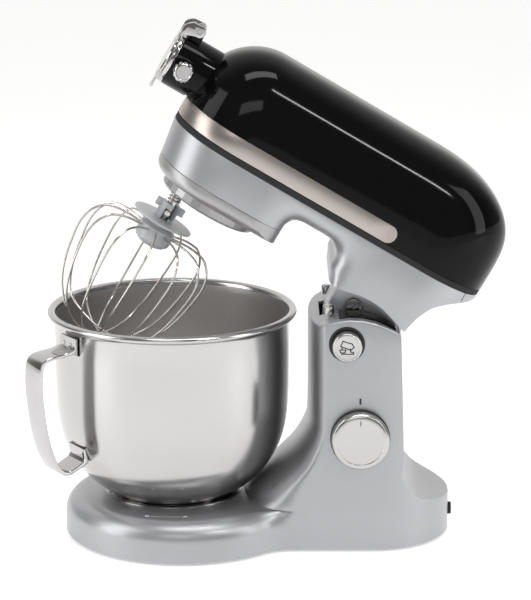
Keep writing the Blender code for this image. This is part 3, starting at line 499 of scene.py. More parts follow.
outside = [base_outline(2.5), base_outline(WALL_TOP)]
cavity = [base_outline(-2.0, shrink=3.0), base_outline(WALL_TOP, shrink=3.0)]
for i in range(1, 10):
    lift, draw = 18.0 * math.sin(math.pi / 18 * i), 18.0 * (1.0 - math.cos(math.pi / 18 * i))
    outside.append(base_outline(WALL_TOP + lift, draw))
    cavity.append(base_outline(WALL_TOP + lift * 0.8333, draw * 0.8333, 3.0))
for z, front, nose, back in eased(COLUMN_LEVELS, 4):
    outside.append(column_outline(z, front, nose, back))
    sink = 3.0 * max(0.0, 1.0 - (z - PLATEAU) / 60.0)
    inner = column_outline(z, front + 3.0, nose, back - 3.0)
    cavity.append([(x, y * 0.955, z - sink) for x, y, z in inner])
for drop, shrink in ((3.0, 0.0), (1.6, 0.25), (0.7, 0.8), (0.15, 1.7), (0.0, 2.8)):
    outside.append(column_outline(211.0, 124.0, 16.0, 206.6, drop, shrink))
cavity.append([(x, y * 0.955, z) for x, y, z in column_outline(211.0, 127.0, 16.0, 203.6, 3.2, 0.0)])
KNOB_AT, BUTTON_AT = (170.4, 107.0), (158.0, 193.7)
stand = shell("stand_casting", stand_solid(outside), BENCH, [
    ("DIFFERENCE", stand_solid(cavity)),
    ("DIFFERENCE", rod(56.0, (0, 0, 30), (0, 0, 50), 128)),
    ("DIFFERENCE", rod(22.3, (KNOB_AT[0], -80, KNOB_AT[1]), (KNOB_AT[0], -55, KNOB_AT[1]))),
    ("DIFFERENCE", rod(16.2, (BUTTON_AT[0], -80, BUTTON_AT[1]), (BUTTON_AT[0], -50, BUTTON_AT[1]))),
    ("DIFFERENCE", brick((196, -33.5, 184), (216, 33.5, 230))),
    ("DIFFERENCE", brick((134, -25, 190), (153, 25, 224))),
    ("DIFFERENCE", brick((151, -57.3, 197), (202, 57.3, 226))),
    ("DIFFERENCE", rod(6.0, (240, 0, 18), (265, 0, 18), 32))])


def silver(name, colour, roughness):
    """Satin metallic paint: fine flake, faint orange peel and a little tone drift."""
    paint = Finish(name, colour, roughness, 0.72, Coat_Weight=0.25, Coat_Roughness=0.28)
    flake = paint.noise(5200.0, 1.0)
    drift = paint.noise(9.0, 3.0)
    paint.paint(Base_Color=paint.shades(flake * 0.55 + drift * 0.45, 0.90, 1.09),
                Roughness=roughness - 0.03 + flake * 0.06 + drift * 0.03)
    paint.bump(paint.noise(900.0, 2.0) * 0.8 + flake * 0.2, 0.00002)
    return paint


silver_paint = silver("silver_paint", (0.42, 0.425, 0.44), 0.36)
fit(stand, "stand", silver_paint, "silver_paint", "stand_housing")

# ---- Underside: a moulded black bottom plate screwed into the casting, four rubber feet pressed
# into it, and the rubber gland that the mains lead leaves by at the rear.
black_plastic = Finish("black_plastic", (0.018, 0.018, 0.019), 0.46)
grain = black_plastic.noise(1500.0, 3.0, 0.6)
black_plastic.paint(Roughness=0.40 + grain * 0.12,
                    Base_Color=black_plastic.shades(black_plastic.noise(14.0, 2.0), 0.8, 1.3))
black_plastic.bump(grain, 0.00004)
rubber = Finish("black_rubber", (0.016, 0.016, 0.016), 0.75, Specular_IOR_Level=0.3)
dust = rubber.noise(60.0, 4.0, 0.65)
rubber.paint(Base_Color=rubber.shades(dust, 0.7, 1.9), Roughness=0.65 + dust * 0.25)
rubber.bump(rubber.noise(2400.0, 2.0), 0.00003)
plan = [(x, y) for x, y, _ in base_outline(0.0, 0.0, 3.6)]
plate = shell("bottom_plate", slab(plan, 2.5, 5.0, bevel=0.4), BENCH)
fit(plate, "stand", black_plastic, "black_plastic", "base_plate")
foot = softened([(0.0, 2.2), (11.2, 2.2), (12.0, 1.3), (11.3, 0.0), (9.0, 0.0), (8.4, 0.5), (0.0, 0.5)], 0.5)
for number, (x, y) in enumerate([(-62, -52), (-62, 52), (200, -42), (200, 42)], 1):
    made = shell("rubber_foot_%d" % number, spun(foot, at=(x, y, 0), steps=48), BENCH)
    fit(made, "stand", rubber, "black_rubber", "foot_%d" % number)
gland = [(5.7, 258.0), (5.7, 249.8), (9.0, 249.8), (9.0, 247.0), (3.5, 247.0), (3.5, 258.0)]
made = shell("gland_sleeve", spun(softened(gland, 0.6), "X", (0, 0, 18), 48), BENCH)
fit(made, "stand", rubber, "black_rubber", "cord_gland")


# ---- Bowl seat: a pressed and plated clamp plate screwed down into the base, with three small
# tabs on its inner wall under which the bowl's foot ring turns and locks.
HANDLE_AT = 214.0


def spoke(radius_in, radius_out, height, thick, number):
    """A small round tab across a wall, at one of the three locking places."""
    angle = math.radians(HANDLE_AT + 25.0 + 120.0 * number)
    return rod(thick, (radius_in * math.cos(angle), radius_in * math.sin(angle), height),
               (radius_out * math.cos(angle), radius_out * math.sin(angle), height), 24)


chrome = Finish("chrome", (0.52, 0.51, 0.51), 0.07, 1.0)
haze = chrome.noise(38.0, 4.0, 0.6)
chrome.paint(Roughness=0.045 + haze * 0.06, Base_Color=chrome.shades(haze, 0.95, 1.04))
chrome.bump(chrome.noise(160.0, 2.0), 0.000012)
seat = [(63.4, 38.9), (63.4, 38.3), (55.6, 38.3), (55.0, 26.0), (14.0, 26.0), (14.0, 27.4),
        (53.4, 27.4), (53.6, 36.6), (54.6, 38.6), (57.0, 39.6)]
made = shell("seat_plate", spun(softened(seat, 0.5, 3), steps=128), BENCH,
             [("UNION", spoke(51.7, 54.4, 33.6, 2.0, number)) for number in range(3)])
fit(made, "stand", chrome, "chrome", "bowl_clamp_plate")


# ---- Lock marks: a thin white line with a closed and an open padlock, screen-printed on the
# paint in front of the bowl seat. The turning direction runs from one to the other.
print_white = Finish("print_white", (0.72, 0.73, 0.74), 0.5)
worn = print_white.noise(700.0, 3.0)
print_white.paint(Base_Color=print_white.shades(worn, 0.92, 1.03), Roughness=0.42 + worn * 0.12)


def ribbon(points, width, low, high, closed=False, plane="XY"):
    """A printed line of one width along a path, as a thin flat bar for each stretch."""
    bm = bmesh.new()
    path = [Vector(point) for point in points]
    if closed:
        path.append(path[0])
    for start, end in zip(path, path[1:]):
        run = (end - start).normalized() * width / 2
        side = Vector((-run.y, run.x))
        corners = [start - run * 0.6 - side, end + run * 0.6 - side, end + run * 0.6 + side,
                   start - run * 0.6 + side]
        part = slab([tuple(corner) for corner in corners], low, high, plane)
        scrap = bpy.data.meshes.new("scrap")
        part.to_mesh(scrap)
        part.free()
        bm.from_mesh(scrap)
        bpy.data.meshes.remove(scrap)
    return bm


def joined(shapes):
    """Several drawn shapes as one."""
    bm = bmesh.new()
    for part in shapes:
        scrap = bpy.data.meshes.new("scrap")
        part.to_mesh(scrap)
        part.free()
        bm.from_mesh(scrap)
        bpy.data.meshes.remove(scrap)
    return bm


def on_arc(radius, start, end, steps, middle=(0.0, 0.0)):
    """Points on an arc, in degrees."""
    return [(middle[0] + radius * math.cos(math.radians(start + (end - start) * i / steps)),
             middle[1] + radius * math.sin(math.radians(start + (end - start) * i / steps)))
            for i in range(steps + 1)]


INK = (38.02, 38.14)
marks = [ribbon(on_arc(85.0, 258.0, 276.0, 14), 0.8, *INK)]
for centre, lift in ((255.5, 0.0), (278.5, 1.6)):
    middle = Vector(on_arc(85.0, centre, centre, 1)[0])
    body_mark = [(middle.x + a, middle.y + b) for a, b in ((-2.0, -2.2), (2.0, -2.2), (2.0, 0.9), (-2.0, 0.9))]
    marks.append(slab(body_mark, *INK))
    marks.append(ribbon(on_arc(1.4, 0, 180, 8, (middle.x + lift, middle.y + 1.2)), 0.6, *INK))
made = shell("lock_marks", joined(marks), BENCH)
fit(made, "stand", print_white, "silver_paint")

# ---- Column top: two glossy black inserts close the opening beside the tilt bracket, and two
# turned and polished stop posts, screwed into the deck, catch the neck when the head is down.
gloss_black = Finish("black_gloss", (0.003, 0.003, 0.0035), 0.05, Specular_IOR_Level=0.15)
smear = gloss_black.noise(12.0, 4.0, 0.6)
gloss_black.paint(Roughness=0.045 + smear * 0.05)
gloss_black.bump(gloss_black.noise(55.0, 1.0), 0.000015)
xs = [151.6 + 49.8 * i / 24 for i in range(25)]
outline = [(x, crown(x) - 1.2) for x in xs] + [(x, crown(x) - 3.6) for x in reversed(xs)]
for name, node, side in (("top_insert_near", "column_cap_near", -1), ("top_insert_far", "column_cap_far", 1)):
    low, high = sorted((side * 24.5, side * 57.0))
    near, far = sorted((side * 20.0, side * 33.5))
    made = shell(name, slab(outline, low, high, "XZ", 0.4), BENCH,
                 [("DIFFERENCE", brick((186, near, 190), (216, far, 225)))])
    fit(made, "stand", gloss_black, "black_gloss", node)

turned_steel = Finish("turned_steel", (0.56, 0.55, 0.54), 0.2, 1.0)
lay = turned_steel.noise(1.0, 3.0, vector=turned_steel.turned(scale=(90.0, 90.0, 5200.0)))
turned_steel.paint(Roughness=0.14 + lay * 0.14, Base_Color=turned_steel.shades(lay, 0.88, 1.06))
turned_steel.bump(lay, 0.000008)
post = softened([(0.0, 10.2), (4.0, 10.2), (5.0, 9.2), (5.0, 1.7), (0.0, 1.7)], 0.5)
for name, node, y in (("post_near", "stop_post_near", -38.0), ("post_far", "stop_post_far", 38.0)):
    made = shell(name, spun(post, at=(142.0, y, crown(142.0)), steps=48), BENCH)
    fit(made, "stand", turned_steel, "machined_steel", node)

# ---- Hinge: a pressed steel frame bolted inside the column carries the pin in two brass bushes;
# the switch, the button's spring and guide, the latch pawl and the board sit below it.
brass = Finish("bush_brass", (0.62, 0.42, 0.17), 0.3, 1.0)
tarnish = brass.noise(300.0, 3.0)
brass.paint(Base_Color=brass.shades(tarnish, 0.8, 1.08), Roughness=0.24 + tarnish * 0.16)
pressed_steel = Finish("pressed_steel", (0.46, 0.455, 0.45), 0.34, 1.0)
roll = pressed_steel.noise(1.0, 3.0, vector=pressed_steel.turned(scale=(60.0, 1800.0, 60.0)))
pressed_steel.paint(Roughness=0.28 + roll * 0.16, Base_Color=pressed_steel.shades(roll, 0.86, 1.08))
pressed_steel.bump(roll, 0.00001)
board_green = Finish("board_green", (0.03, 0.17, 0.07), 0.35, Coat_Weight=0.5)
tracks = board_green.node("ShaderNodeTexBrick", {},
                          {"Vector": board_green.turned((90, 0, 0)), "Scale": 180.0}, "Fac")
board_green.paint(Base_Color=board_green.shades(tracks, 0.8, 1.6))
board_green.bump(tracks, 0.00003)


def dress(finish, *nodes):
    """Give CAD nodes that stay as they are a worked finish."""
    for node in nodes:
        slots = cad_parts[node].material_slots
        for slot in slots:
            slot.material = finish.material


dress(brass, "hinge_bush_near", "hinge_bush_far")
dress(pressed_steel, "hinge_frame", "motor_cradle", "latch_pawl")
dress(turned_steel, "hinge_pin", "button_spring", "motor", "motor_shaft", "takeoff_shaft", "crown_gear",
      "carrier_shaft", "carrier_bearing_lower", "carrier_bearing_upper", "ring_gear", "planet_gear",
      "beater_shaft", "flap_pin")
dress(black_plastic, "speed_switch")
dress(board_green, "control_board")

# ---- Speed knob: a turned aluminium cap, satin faced with a polished rim, on a black collar. A
# black line on the column shows its off position.
satin_face = Finish("satin_face", (0.52, 0.515, 0.51), 0.24, 1.0)
across = satin_face.noise(1.0, 3.0, vector=satin_face.turned(scale=(40.0, 40.0, 3600.0)))
satin_face.paint(Roughness=0.17 + across * 0.14, Base_Color=satin_face.shades(across, 0.93, 1.05))
satin_face.bump(across, 0.000006)
knob = [(0.0, -52.0), (3.0, -52.0), (3.0, -71.3), (25.4, -71.3), (26.3, -72.0), (26.3, -79.0), (25.9, -80.4),
        (24.8, -81.6), (23.3, -82.3), (21.6, -82.6), (21.2, -82.2), (20.8, -82.0), (0.0, -82.0)]
made = shell("knob_cap", spun(softened(knob, 0.3, 3), "Y", (KNOB_AT[0], 0, KNOB_AT[1]), 96), BENCH)
fit(made, "knob", satin_face, "chrome", "speed_knob")
collar = [(22.0, -62.0), (22.0, -70.05), (27.0, -70.05), (27.0, -71.0), (4.4, -71.0), (4.4, -62.0)]
made = shell("knob_collar", spun(softened(collar, 0.2, 2), "Y", (KNOB_AT[0], 0, KNOB_AT[1]), 96), BENCH)
fit(made, "stand", black_plastic, "black_plastic", "knob_bezel")
ink_black = Finish("ink_black", (0.012, 0.012, 0.013), 0.4)
ink_black.paint(Roughness=0.34 + ink_black.noise(900.0, 2.0) * 0.14)

# ---- Tilt button: a plated push button with a domed rim in a thin black guide ring, marked with a
# small drawing of the raised head. A coil spring pushes it back out.
button = [(0.0, -45.2), (2.5, -45.2), (2.5, -56.0), (13.0, -56.0), (13.4, -56.5), (13.4, -77.4), (12.9, -78.7),
          (12.0, -79.4), (11.2, -79.5), (10.9, -79.3), (0.0, -79.3)]
made = shell("tilt_button_cap", spun(softened(button, 0.25, 3), "Y", (BUTTON_AT[0], 0, BUTTON_AT[1]), 80), BENCH)
fit(made, "button", satin_face, "chrome", "tilt_button")
guide = [(15.9, -48.0), (15.9, -66.9), (13.8, -66.9), (13.8, -50.0), (3.2, -50.0), (3.2, -48.0)]
made = shell("button_sleeve", spun(softened(guide, 0.2, 2), "Y", (BUTTON_AT[0], 0, BUTTON_AT[1]), 80), BENCH)
fit(made, "stand", black_plastic, "black_plastic", "button_guide")

SYMBOL = (-79.42, -79.31)      # printed on the button's face
sketch = [
    [(-5.4, -5.4), (5.6, -5.4), (5.6, -4.0), (2.9, -3.4), (2.6, -0.6)],
    [(-6.2, 1.8), (3.0, -1.9), (6.0, 0.9), (4.2, 3.9), (-3.9, 6.4), (-6.2, 1.8)],
    [(-4.6, 0.9), (-4.9, -1.0)],
    [(-6.8, -1.6), (-6.0, -4.2), (-2.2, -4.2), (-1.4, -1.6), (-6.8, -1.6)]]
lines = [ribbon([(BUTTON_AT[0] + x, BUTTON_AT[1] + z) for x, z in line], 0.95, *SYMBOL, plane="XZ")
         for line in sketch]
made = shell("button_symbol", joined(lines), BENCH)
fit(made, "button", ink_black, "chrome")
side_y = -base_half_width(170.4) * (1.0 - 0.07 * (141.0 - PLATEAU) / 173.0)
made = shell("off_line", slab([(169.5, 138.4), (171.3, 138.4), (171.3, 143.9), (169.5, 143.9)],
                              side_y - 0.16, side_y + 0.1, "XZ"), BENCH)
fit(made, "stand", ink_black, "black_plastic")
pointer = ribbon([(KNOB_AT[0], KNOB_AT[1] + 15.5), (KNOB_AT[0], KNOB_AT[1] + 19.6)], 0.8,
                 -82.12, -82.01, plane="XZ")
made = shell("knob_pointer", pointer, BENCH)
fit(made, "knob", ink_black, "chrome")

# ---- Bowl: deep-drawn stainless steel, satin polished outside and brushed round inside, with a
# rolled rim. A foot ring with three lugs is welded under it and a bent strap is its handle.
BOWL_MIDDLE = (-0.0869, 0.0, 0.0)


def bowl_metal(name, colour, low, high, fine, depth):
    """Steel worked round the bowl's axis: streaks run round the wall and in rings on the bottom."""
    steel = Finish(name, colour, low, 1.0)
    parts = steel.node("ShaderNodeSeparateXYZ", {}, {"Vector": steel.turned(middle=BOWL_MIDDLE)}, "X")
    spread = parts.socket.node.outputs
    across_x, across_y, up = (Pattern(steel, spread[axis]) for axis in "XYZ")
    away = (across_x * across_x + across_y * across_y).maths("SQRT", across_x * across_x + across_y * across_y)
    grooves = steel.node("ShaderNodeCombineXYZ", {}, {"X": across_x * 26.0, "Y": across_y * 26.0,
                                                      "Z": (away + up) * fine})
    streaks = steel.noise(1.0, 4.0, 0.62, grooves)
    cloud = steel.noise(24.0, 3.0)
    steel.paint(Base_Color=steel.shades(streaks * 0.6 + cloud * 0.4, 0.90, 1.06),
                Roughness=low + streaks * (high - low) + cloud * 0.04)
    steel.bump(streaks, depth)
    return steel


bowl_outside = bowl_metal("bowl_satin_outside", (0.53, 0.52, 0.515), 0.11, 0.21, 1500.0, 0.000004)
# The inside steel is coloured lighter than the outside, 0.74 against 0.53: its brushed grain is real, the
# lighter colour is painted light that brightens the bowl's shaded interior.
bowl_inside_painted_light = bowl_metal("bowl_brushed_inside_painted_light", (0.74, 0.72, 0.71), 0.24, 0.42, 2600.0, 0.000012)
inner = [(0.0, 38.4), (30.0, 38.5), (50.0, 39.4), (62.0, 44.0), (72.0, 51.4), (80.0, 59.6), (88.6, 71.0),
         (95.4, 83.0), (101.0, 98.5), (104.2, 116.0), (105.5, 133.0), (105.9, 150.0),
         (106.0, 180.0), (106.0, 206.6)]
bead = [(106.5, 209.2), (107.9, 211.0), (109.9, 211.8), (112.0, 211.4), (113.5, 210.2), (114.0, 208.6),
        (113.4, 207.0), (111.9, 205.9), (110.0, 205.4), (108.4, 204.3), (107.5, 202.0)]
outer = [(107.4, 180.0), (107.4, 150.0), (106.9, 130.0), (105.5, 113.0), (102.2, 96.0), (96.6, 80.8),
         (89.2, 67.8), (80.6, 57.6), (72.0, 49.6), (63.0, 43.2), (56.0, 39.2), (50.5, 37.1),
         (30.0, 36.7), (0.0, 36.6)]


def smooth_line(points, steps=3):
    """A smooth curve through 2-D points."""
    return [tuple(point) for point in eased([tuple(point) for point in points], steps)]


wall = smooth_line(inner) + smooth_line(bead, 2) + smooth_line(outer)
made = shell("bowl_wall", spun(wall, steps=160), BENCH)
fit(made, "bowl", bowl_outside, "bowl_steel", "bowl_shell", crease=50.0)
# The inside faces take the second steel, the one painted lighter as painted light.
made.data.materials.append(bowl_inside_painted_light.material)
for face in made.data.polygons:
    centre = face.center - Vector(BOWL_MIDDLE)
    away = math.hypot(centre.x, centre.y)
    outwards = face.normal.x * centre.x + face.normal.y * centre.y
    if centre.z < 0.2075 and (outwards < 0.0 or (face.normal.z > 0.5 and away < 0.104)):
        face.material_index = 1
ring = [(47.5, 36.3), (47.5, 28.0), (51.0, 28.0), (51.0, 36.3)]
made = shell("bowl_foot", spun(softened(ring, 0.6, 3), steps=128), BENCH,
             [("UNION", spoke(49.3, 52.9, 29.8, 1.2, number)) for number in range(3)])
fit(made, "bowl", chrome, "bowl_steel", "bowl_foot_ring")

back_side = [(107.7, 200.0), (110.3, 200.0), (110.9, 190.3), (120.0, 188.2), (133.0, 187.0), (139.0, 185.8),
             (143.5, 183.0), (146.0, 177.0), (147.0, 167.0), (147.0, 154.0), (145.6, 139.3), (143.2, 121.2),
             (140.0, 106.5), (136.0, 93.3), (130.8, 82.5), (126.0, 76.5), (121.0, 74.6), (115.5, 75.2),
             (107.5, 78.6), (98.0, 83.0), (101.5, 97.0)]
front_side = [(103.9, 96.6), (102.6, 87.4), (104.5, 84.4), (109.5, 81.8), (116.5, 78.6), (120.5, 78.0),
              (124.0, 79.6), (128.2, 84.6), (133.0, 94.8), (136.9, 107.6), (140.0, 122.0), (142.3, 140.0), (143.6, 154.0),
              (143.6, 166.0), (142.9, 174.0), (141.5, 179.5), (138.5, 182.3), (133.0, 183.7), (120.5, 184.9),
              (111.6, 186.2), (107.7, 183.2)]
strap = back_side[:3] + smooth_line(back_side[3:20], 3) + [back_side[20]]
strap += front_side[:2] + smooth_line(front_side[2:20], 3) + [front_side[20]]
handle = slab(strap, -13.5, 13.5, "XZ")
long_edges = [edge for edge in handle.edges if abs(edge.verts[0].co.y - edge.verts[1].co.y) < 1e-6]
bmesh.ops.bevel(handle, geom=long_edges,
                offset=0.9, affect="EDGES", segments=3, profile=0.5, material=-1)
handle.transform(Matrix.Rotation(math.radians(HANDLE_AT), 4, "Z"))
rivets = []
for y in (-6.0, 6.0):
    rivet = rod(2.3, (109.0, y, 193.0), (111.4, y, 193.0), 24, 0.6)
    rivet.transform(Matrix.Rotation(math.radians(HANDLE_AT), 4, "Z"))
    rivets.append(("UNION", rivet))
made = shell("bowl_handle_strap", handle, BENCH, rivets)
fit(made, "bowl", chrome, "chrome", "bowl_handle", crease=28.0)

# ---- Head casting: the silver lower half of the head, cast with the gearbox wall in front, an
# arch over the bowl's rim, and the neck that sits on the tilt bracket. Drawn with the head closed.
HEAD = BENCH @ Matrix.Translation((200, 0, 196)) @ Matrix.Rotation(math.radians(30.5), 4, "Y")
HEAD = HEAD @ Matrix.Translation((-200, 0, -196))
HEAD_SIDE = 62.0
FRONT, REAR = -66.6, 252.1
TAIL_X = 188.0


def head_outline(z, front=FRONT, inset=0.0):
    """The head's plan: a full round nose, straight sides and a squarer tail."""
    half = []
    side, nose, tail = HEAD_SIDE - inset, -front - inset, REAR - inset - TAIL_X
    for i in range(33):
        angle = math.pi / 2 * i / 32
        half.append((-nose * math.cos(angle) ** (2 / 2.15), side * math.sin(angle) ** (2 / 2.15), z))
    for x in (32.0, 64.0, 95.0, 126.0, 157.0):
        half.append((x, side, z))
    for i in range(29):
        angle = math.pi / 2 * i / 28
        half.append((TAIL_X + tail * math.sin(angle) ** (2 / 2.3),
                     side * max(0.0, math.cos(angle)) ** (2 / 2.3), z))
    half[0] = (-nose, 0.0, z)
    half[-1] = (TAIL_X + tail, 0.0, z)
    return both_sides(half)


ARCH_MIDDLE = [(64, 190), (64, 215), (64, 230.6), (65, 237), (69, 242.5), (77, 245), (88, 245),
               (100, 245), (109, 243), (115.5, 237), (117.8, 230), (118, 223), (122, 215), (131.5, 190)]
ARCH_SIDE = [(34, 190), (36, 216), (39.4, 230.6), (44, 245), (52.6, 255.6), (64, 259), (85, 258.5),
             (103, 258), (118, 257.7), (128, 252), (135, 241.5), (137, 226), (135, 212.6), (134, 190)]


def arch():
    """The cutter for the arch, flared towards both side walls."""
    loops = []
    middle, side = smooth_line(ARCH_MIDDLE, 4), smooth_line(ARCH_SIDE, 4)
    reaches = [0.0, 0.2, 0.4, 0.56, 0.7, 0.81, 0.89, 0.95, 0.985, 1.0]
    spots = [(-70.0, 1.0)] + [(-44.0 - 18.0 * reach, reach) for reach in reversed(reaches)]
    spots += [(44.0 + 18.0 * reach, reach) for reach in reaches] + [(70.0, 1.0)]
    for y, reach in spots:
        share = 1.0 - math.sqrt(1.0 - reach ** 2)
        loops.append([(a[0] + (b[0] - a[0]) * share, y, a[1] + (b[1] - a[1]) * share)
                      for a, b in zip(middle, side)])
    return solid_loft(loops)


under = [(-80, 185), (-80, 229.3), (95, 229.3), (95, 207)]
under += smooth_line([(95, 207), (115, 210.4), (124, 211.1), (132.5, 211.8), (140, 213.2),
                      (147, 214.9), (155, 216.2), (163, 216.8), (171, 216.3), (179, 214.9),
                      (190, 211.7), (204, 207)], 3)[1:]
under += smooth_line([(204, 207), (207, 222), (214, 237), (222, 244.4), (231, 250),
                      (244, 256), (253, 260.5)], 3)[1:]
under += [(270, 261), (270, 185)]
loops = [head_outline(198.0, -57.0), head_outline(229.3, -61.0), head_outline(262.0, -66.5),
         head_outline(262.5, -66.6, 0.15), head_outline(262.7, -66.6, 0.5)]
casting = shell("head_casting", solid_loft(loops), HEAD, [
    ("DIFFERENCE", slab(under, -80, 80, "XZ")),
    ("DIFFERENCE", arch()),
    ("DIFFERENCE", rod(55.0, (0, 0, 215), (0, 0, 270), 96)),
    ("DIFFERENCE", brick((50, -43, 249), (143, 43, 270))),
    ("DIFFERENCE", brick((141, -58.5, 219.5), (188, 58.5, 272))),
    ("DIFFERENCE", brick((187, -46, 254), (236, 46, 271))),
    ("DIFFERENCE", brick((137.5, -22.4, 195), (216, 22.4, 221))),
    ("DIFFERENCE", brick((129.5, -44.5, 195), (149, -31.5, 226))),
    ("DIFFERENCE", brick((129.5, 31.5, 195), (149, 44.5, 226)))])
fit(casting, "head", silver_paint, "silver_paint", "lower_housing")

# ---- Gearbox cover: a shallow casting screwed up under the gearbox, a shade warmer than the rest,
# with the hole that the planetary carrier turns in.
gearbox_silver = silver("gearbox_silver", (0.40, 0.395, 0.395), 0.38)
loops = [head_outline(215.5, -60.0, 8.0), head_outline(215.7, -60.0, 7.0), head_outline(216.4, -60.1, 5.2),
         head_outline(217.6, -60.2, 3.3), head_outline(219.2, -60.3, 1.7), head_outline(221.0, -60.4, 0.6),
         head_outline(223.0, -60.4), head_outline(228.4, -61.0), head_outline(228.8, -61.0, 0.15),
         head_outline(229.0, -61.0, 0.5)]
made = shell("gearbox_underside", solid_loft(loops), HEAD, [
    ("DIFFERENCE", brick((90, -70, 200), (270, 70, 240))),
    ("DIFFERENCE", arch()),
    ("DIFFERENCE", rod(55.0, (0, 0, 219), (0, 0, 240), 96)),
    ("DIFFERENCE", rod(47.5, (0, 0, 200), (0, 0, 230), 128))])
fit(made, "head", gearbox_silver, "gearbox_silver", "gearbox_cover")

# ---- Seam and band: a black rubber gasket lies between the castings and the cover, and a strip of
# long-brushed steel with round ends is bent round the nose above it.


def ring_round(low, high, outer, inner, edge):
    """A bar bent round the head's plan, its outer corners rounded."""
    bm = bmesh.new()
    loops = [head_outline(low, inset=inner), head_outline(low, inset=outer + edge),
             head_outline(low + edge * 0.3, inset=outer + edge * 0.3), head_outline(low + edge, inset=outer),
             head_outline(high - edge, inset=outer), head_outline(high - edge * 0.3, inset=outer + edge * 0.3),
             head_outline(high, inset=outer + edge), head_outline(high, inset=inner)]
    first, last = skin(bm, loops)
    bmesh.ops.bridge_loops(bm, edges=first + last)
    bmesh.ops.recalc_face_normals(bm, faces=bm.faces)
    return bm


def behind(x, low, high, gap=0.0):
    """The cutter that gives the band, or its seat, a round rear end."""
    radius = (high - low) / 2 + gap
    centre = (x - (high - low) / 2, (low + high) / 2)
    outline = on_arc(radius, 90, -90, 20, centre)
    outline += [(centre[0], low - 8), (290, low - 8), (290, high + 8), (centre[0], high + 8)]
    return slab(outline, -80, 80, "XZ")


made = shell("seam_strip", ring_round(263.0, 268.1, 0.4, 3.0, 0.4), HEAD)
fit(made, "head", rubber, "black_rubber", "seam_gasket")
brushed = Finish("brushed_trim", (0.44, 0.40, 0.37), 0.3, 1.0)
along = brushed.noise(1.0, 4.0, 0.65, brushed.turned((0, -30.5, 0), scale=(14.0, 14.0, 3400.0)))
brushed.paint(Base_Color=brushed.shades(along, 0.80, 1.14), Roughness=0.22 + along * 0.18)
brushed.bump(along, 0.000012)
made = shell("steel_band", ring_round(268.7, 285.2, 0.0, 1.2, 0.35), HEAD,
             [("DIFFERENCE", behind(153.0, 268.7, 285.2))])
fit(made, "head", brushed, "brushed_trim", "trim_band")

# ---- Top cover: one glossy black moulding over the motor, with the accessory hub's tube, the boss
# of its clamp screw and the lug of its flap moulded on at the nose.


def rounded(share, power):
    return max(0.0, 1.0 - abs(share) ** power) ** (1.0 / power)


def ridge(x):
    """Height of the cover's ridge."""
    if x < -8.0:
        return 300.0 + 59.6 * rounded((-8.0 - x) / (-8.0 - FRONT), 1.95)
    if x > 150.0:
        return 290.0 + 69.6 * rounded((x - 150.0) / (REAR - 150.0), 2.4)
    return 359.6


def half_width(x):
    if x < 0.0:
        return HEAD_SIDE * rounded(x / FRONT, 2.15)
    if x > TAIL_X:
        return HEAD_SIDE * rounded((x - TAIL_X) / (REAR - TAIL_X), 2.3)
    return HEAD_SIDE


SEAT, SECTION = 268.4, 72
places = [FRONT * math.cos(math.pi / 2 * (0.02 + 0.98 * i / 30)) for i in range(31)]
places += [25.0, 50.0, 75.0, 100.0, 125.0, 150.0]
places += [150.0 + (REAR - 0.1 - 150.0) * math.sin(math.pi / 2 * i / 30) for i in range(1, 31)]
bm = bmesh.new()
rows = []
for x in places:
    row = []
    for i in range(SECTION + 1):
        angle = math.pi * i / SECTION
        y = half_width(x) * math.copysign(abs(math.cos(angle)) ** (2 / 2.9), math.cos(angle))
        row.append((x, y, SEAT + (ridge(x) - SEAT) * abs(math.sin(angle)) ** (2 / 2.5)))
    rows.append(row)
front_edge, rear_edge = skin(bm, rows, closed=False)
for edge in (front_edge, rear_edge):
    verts = {vert for part in edge for vert in part.verts}
    low_pair = sorted(verts, key=lambda vert: vert.co.z)[:2]
    bmesh.ops.edgeloop_fill(bm, edges=edge + [bm.edges.new(low_pair)])
bmesh.ops.recalc_face_normals(bm, faces=bm.faces)
if sum(face.normal.z * face.calc_area() for face in bm.faces) < 0:
    bmesh.ops.reverse_faces(bm, faces=bm.faces)
HUB_Z, SCREW_X = 308.0, -82.0
PIN_X, PIN_Z = -86.0, 341.0
lug = [(-92.7, 327), (-79.5, 327)] + on_arc(5.4, 0, 180, 20, (PIN_X, PIN_Z))
seat_ring = ring_round(266.4, 285.5, -3.0, 1.6, 0.01)
seat_behind = behind(153.3, 268.4, 285.5)
cutter = loose("seat_ring_tool", seat_ring, Matrix())
trim = loose("seat_behind_tool", seat_behind, Matrix())
step = cutter.modifiers.new("cut", "BOOLEAN")
step.object = trim
step.solver = "EXACT"
seat_cut = bmesh.new()
seat_cut.from_object(cutter, bpy.context.evaluated_depsgraph_get())
for spare in (cutter, trim):
    bpy.data.objects.remove(spare, do_unlink=True)
cover = shell("cover_moulding", bm, HEAD, [
    ("UNION", rod(25.5, (-93, 0, HUB_Z), (-48, 0, HUB_Z), 96, 0.6)),
    ("UNION", rod(8.0, (SCREW_X, -37.6, HUB_Z - 1), (SCREW_X, -10, HUB_Z - 1), 48, 0.4)),
    ("UNION", slab(lug, -11.2, 11.2, "XZ", 0.5)),
    ("DIFFERENCE", rod(17.0, (-99, 0, HUB_Z), (-35, 0, HUB_Z), 64)),
    ("DIFFERENCE", rod(4.0, (SCREW_X, -45, HUB_Z - 1), (SCREW_X, -8, HUB_Z - 1), 32)),
    ("DIFFERENCE", rod(2.3, (PIN_X, -20, PIN_Z), (PIN_X, 20, PIN_Z), 32)),
    ("DIFFERENCE", seat_cut)], wall=2.6)
fit(cover, "head", gloss_black, "black_gloss", "top_cover")

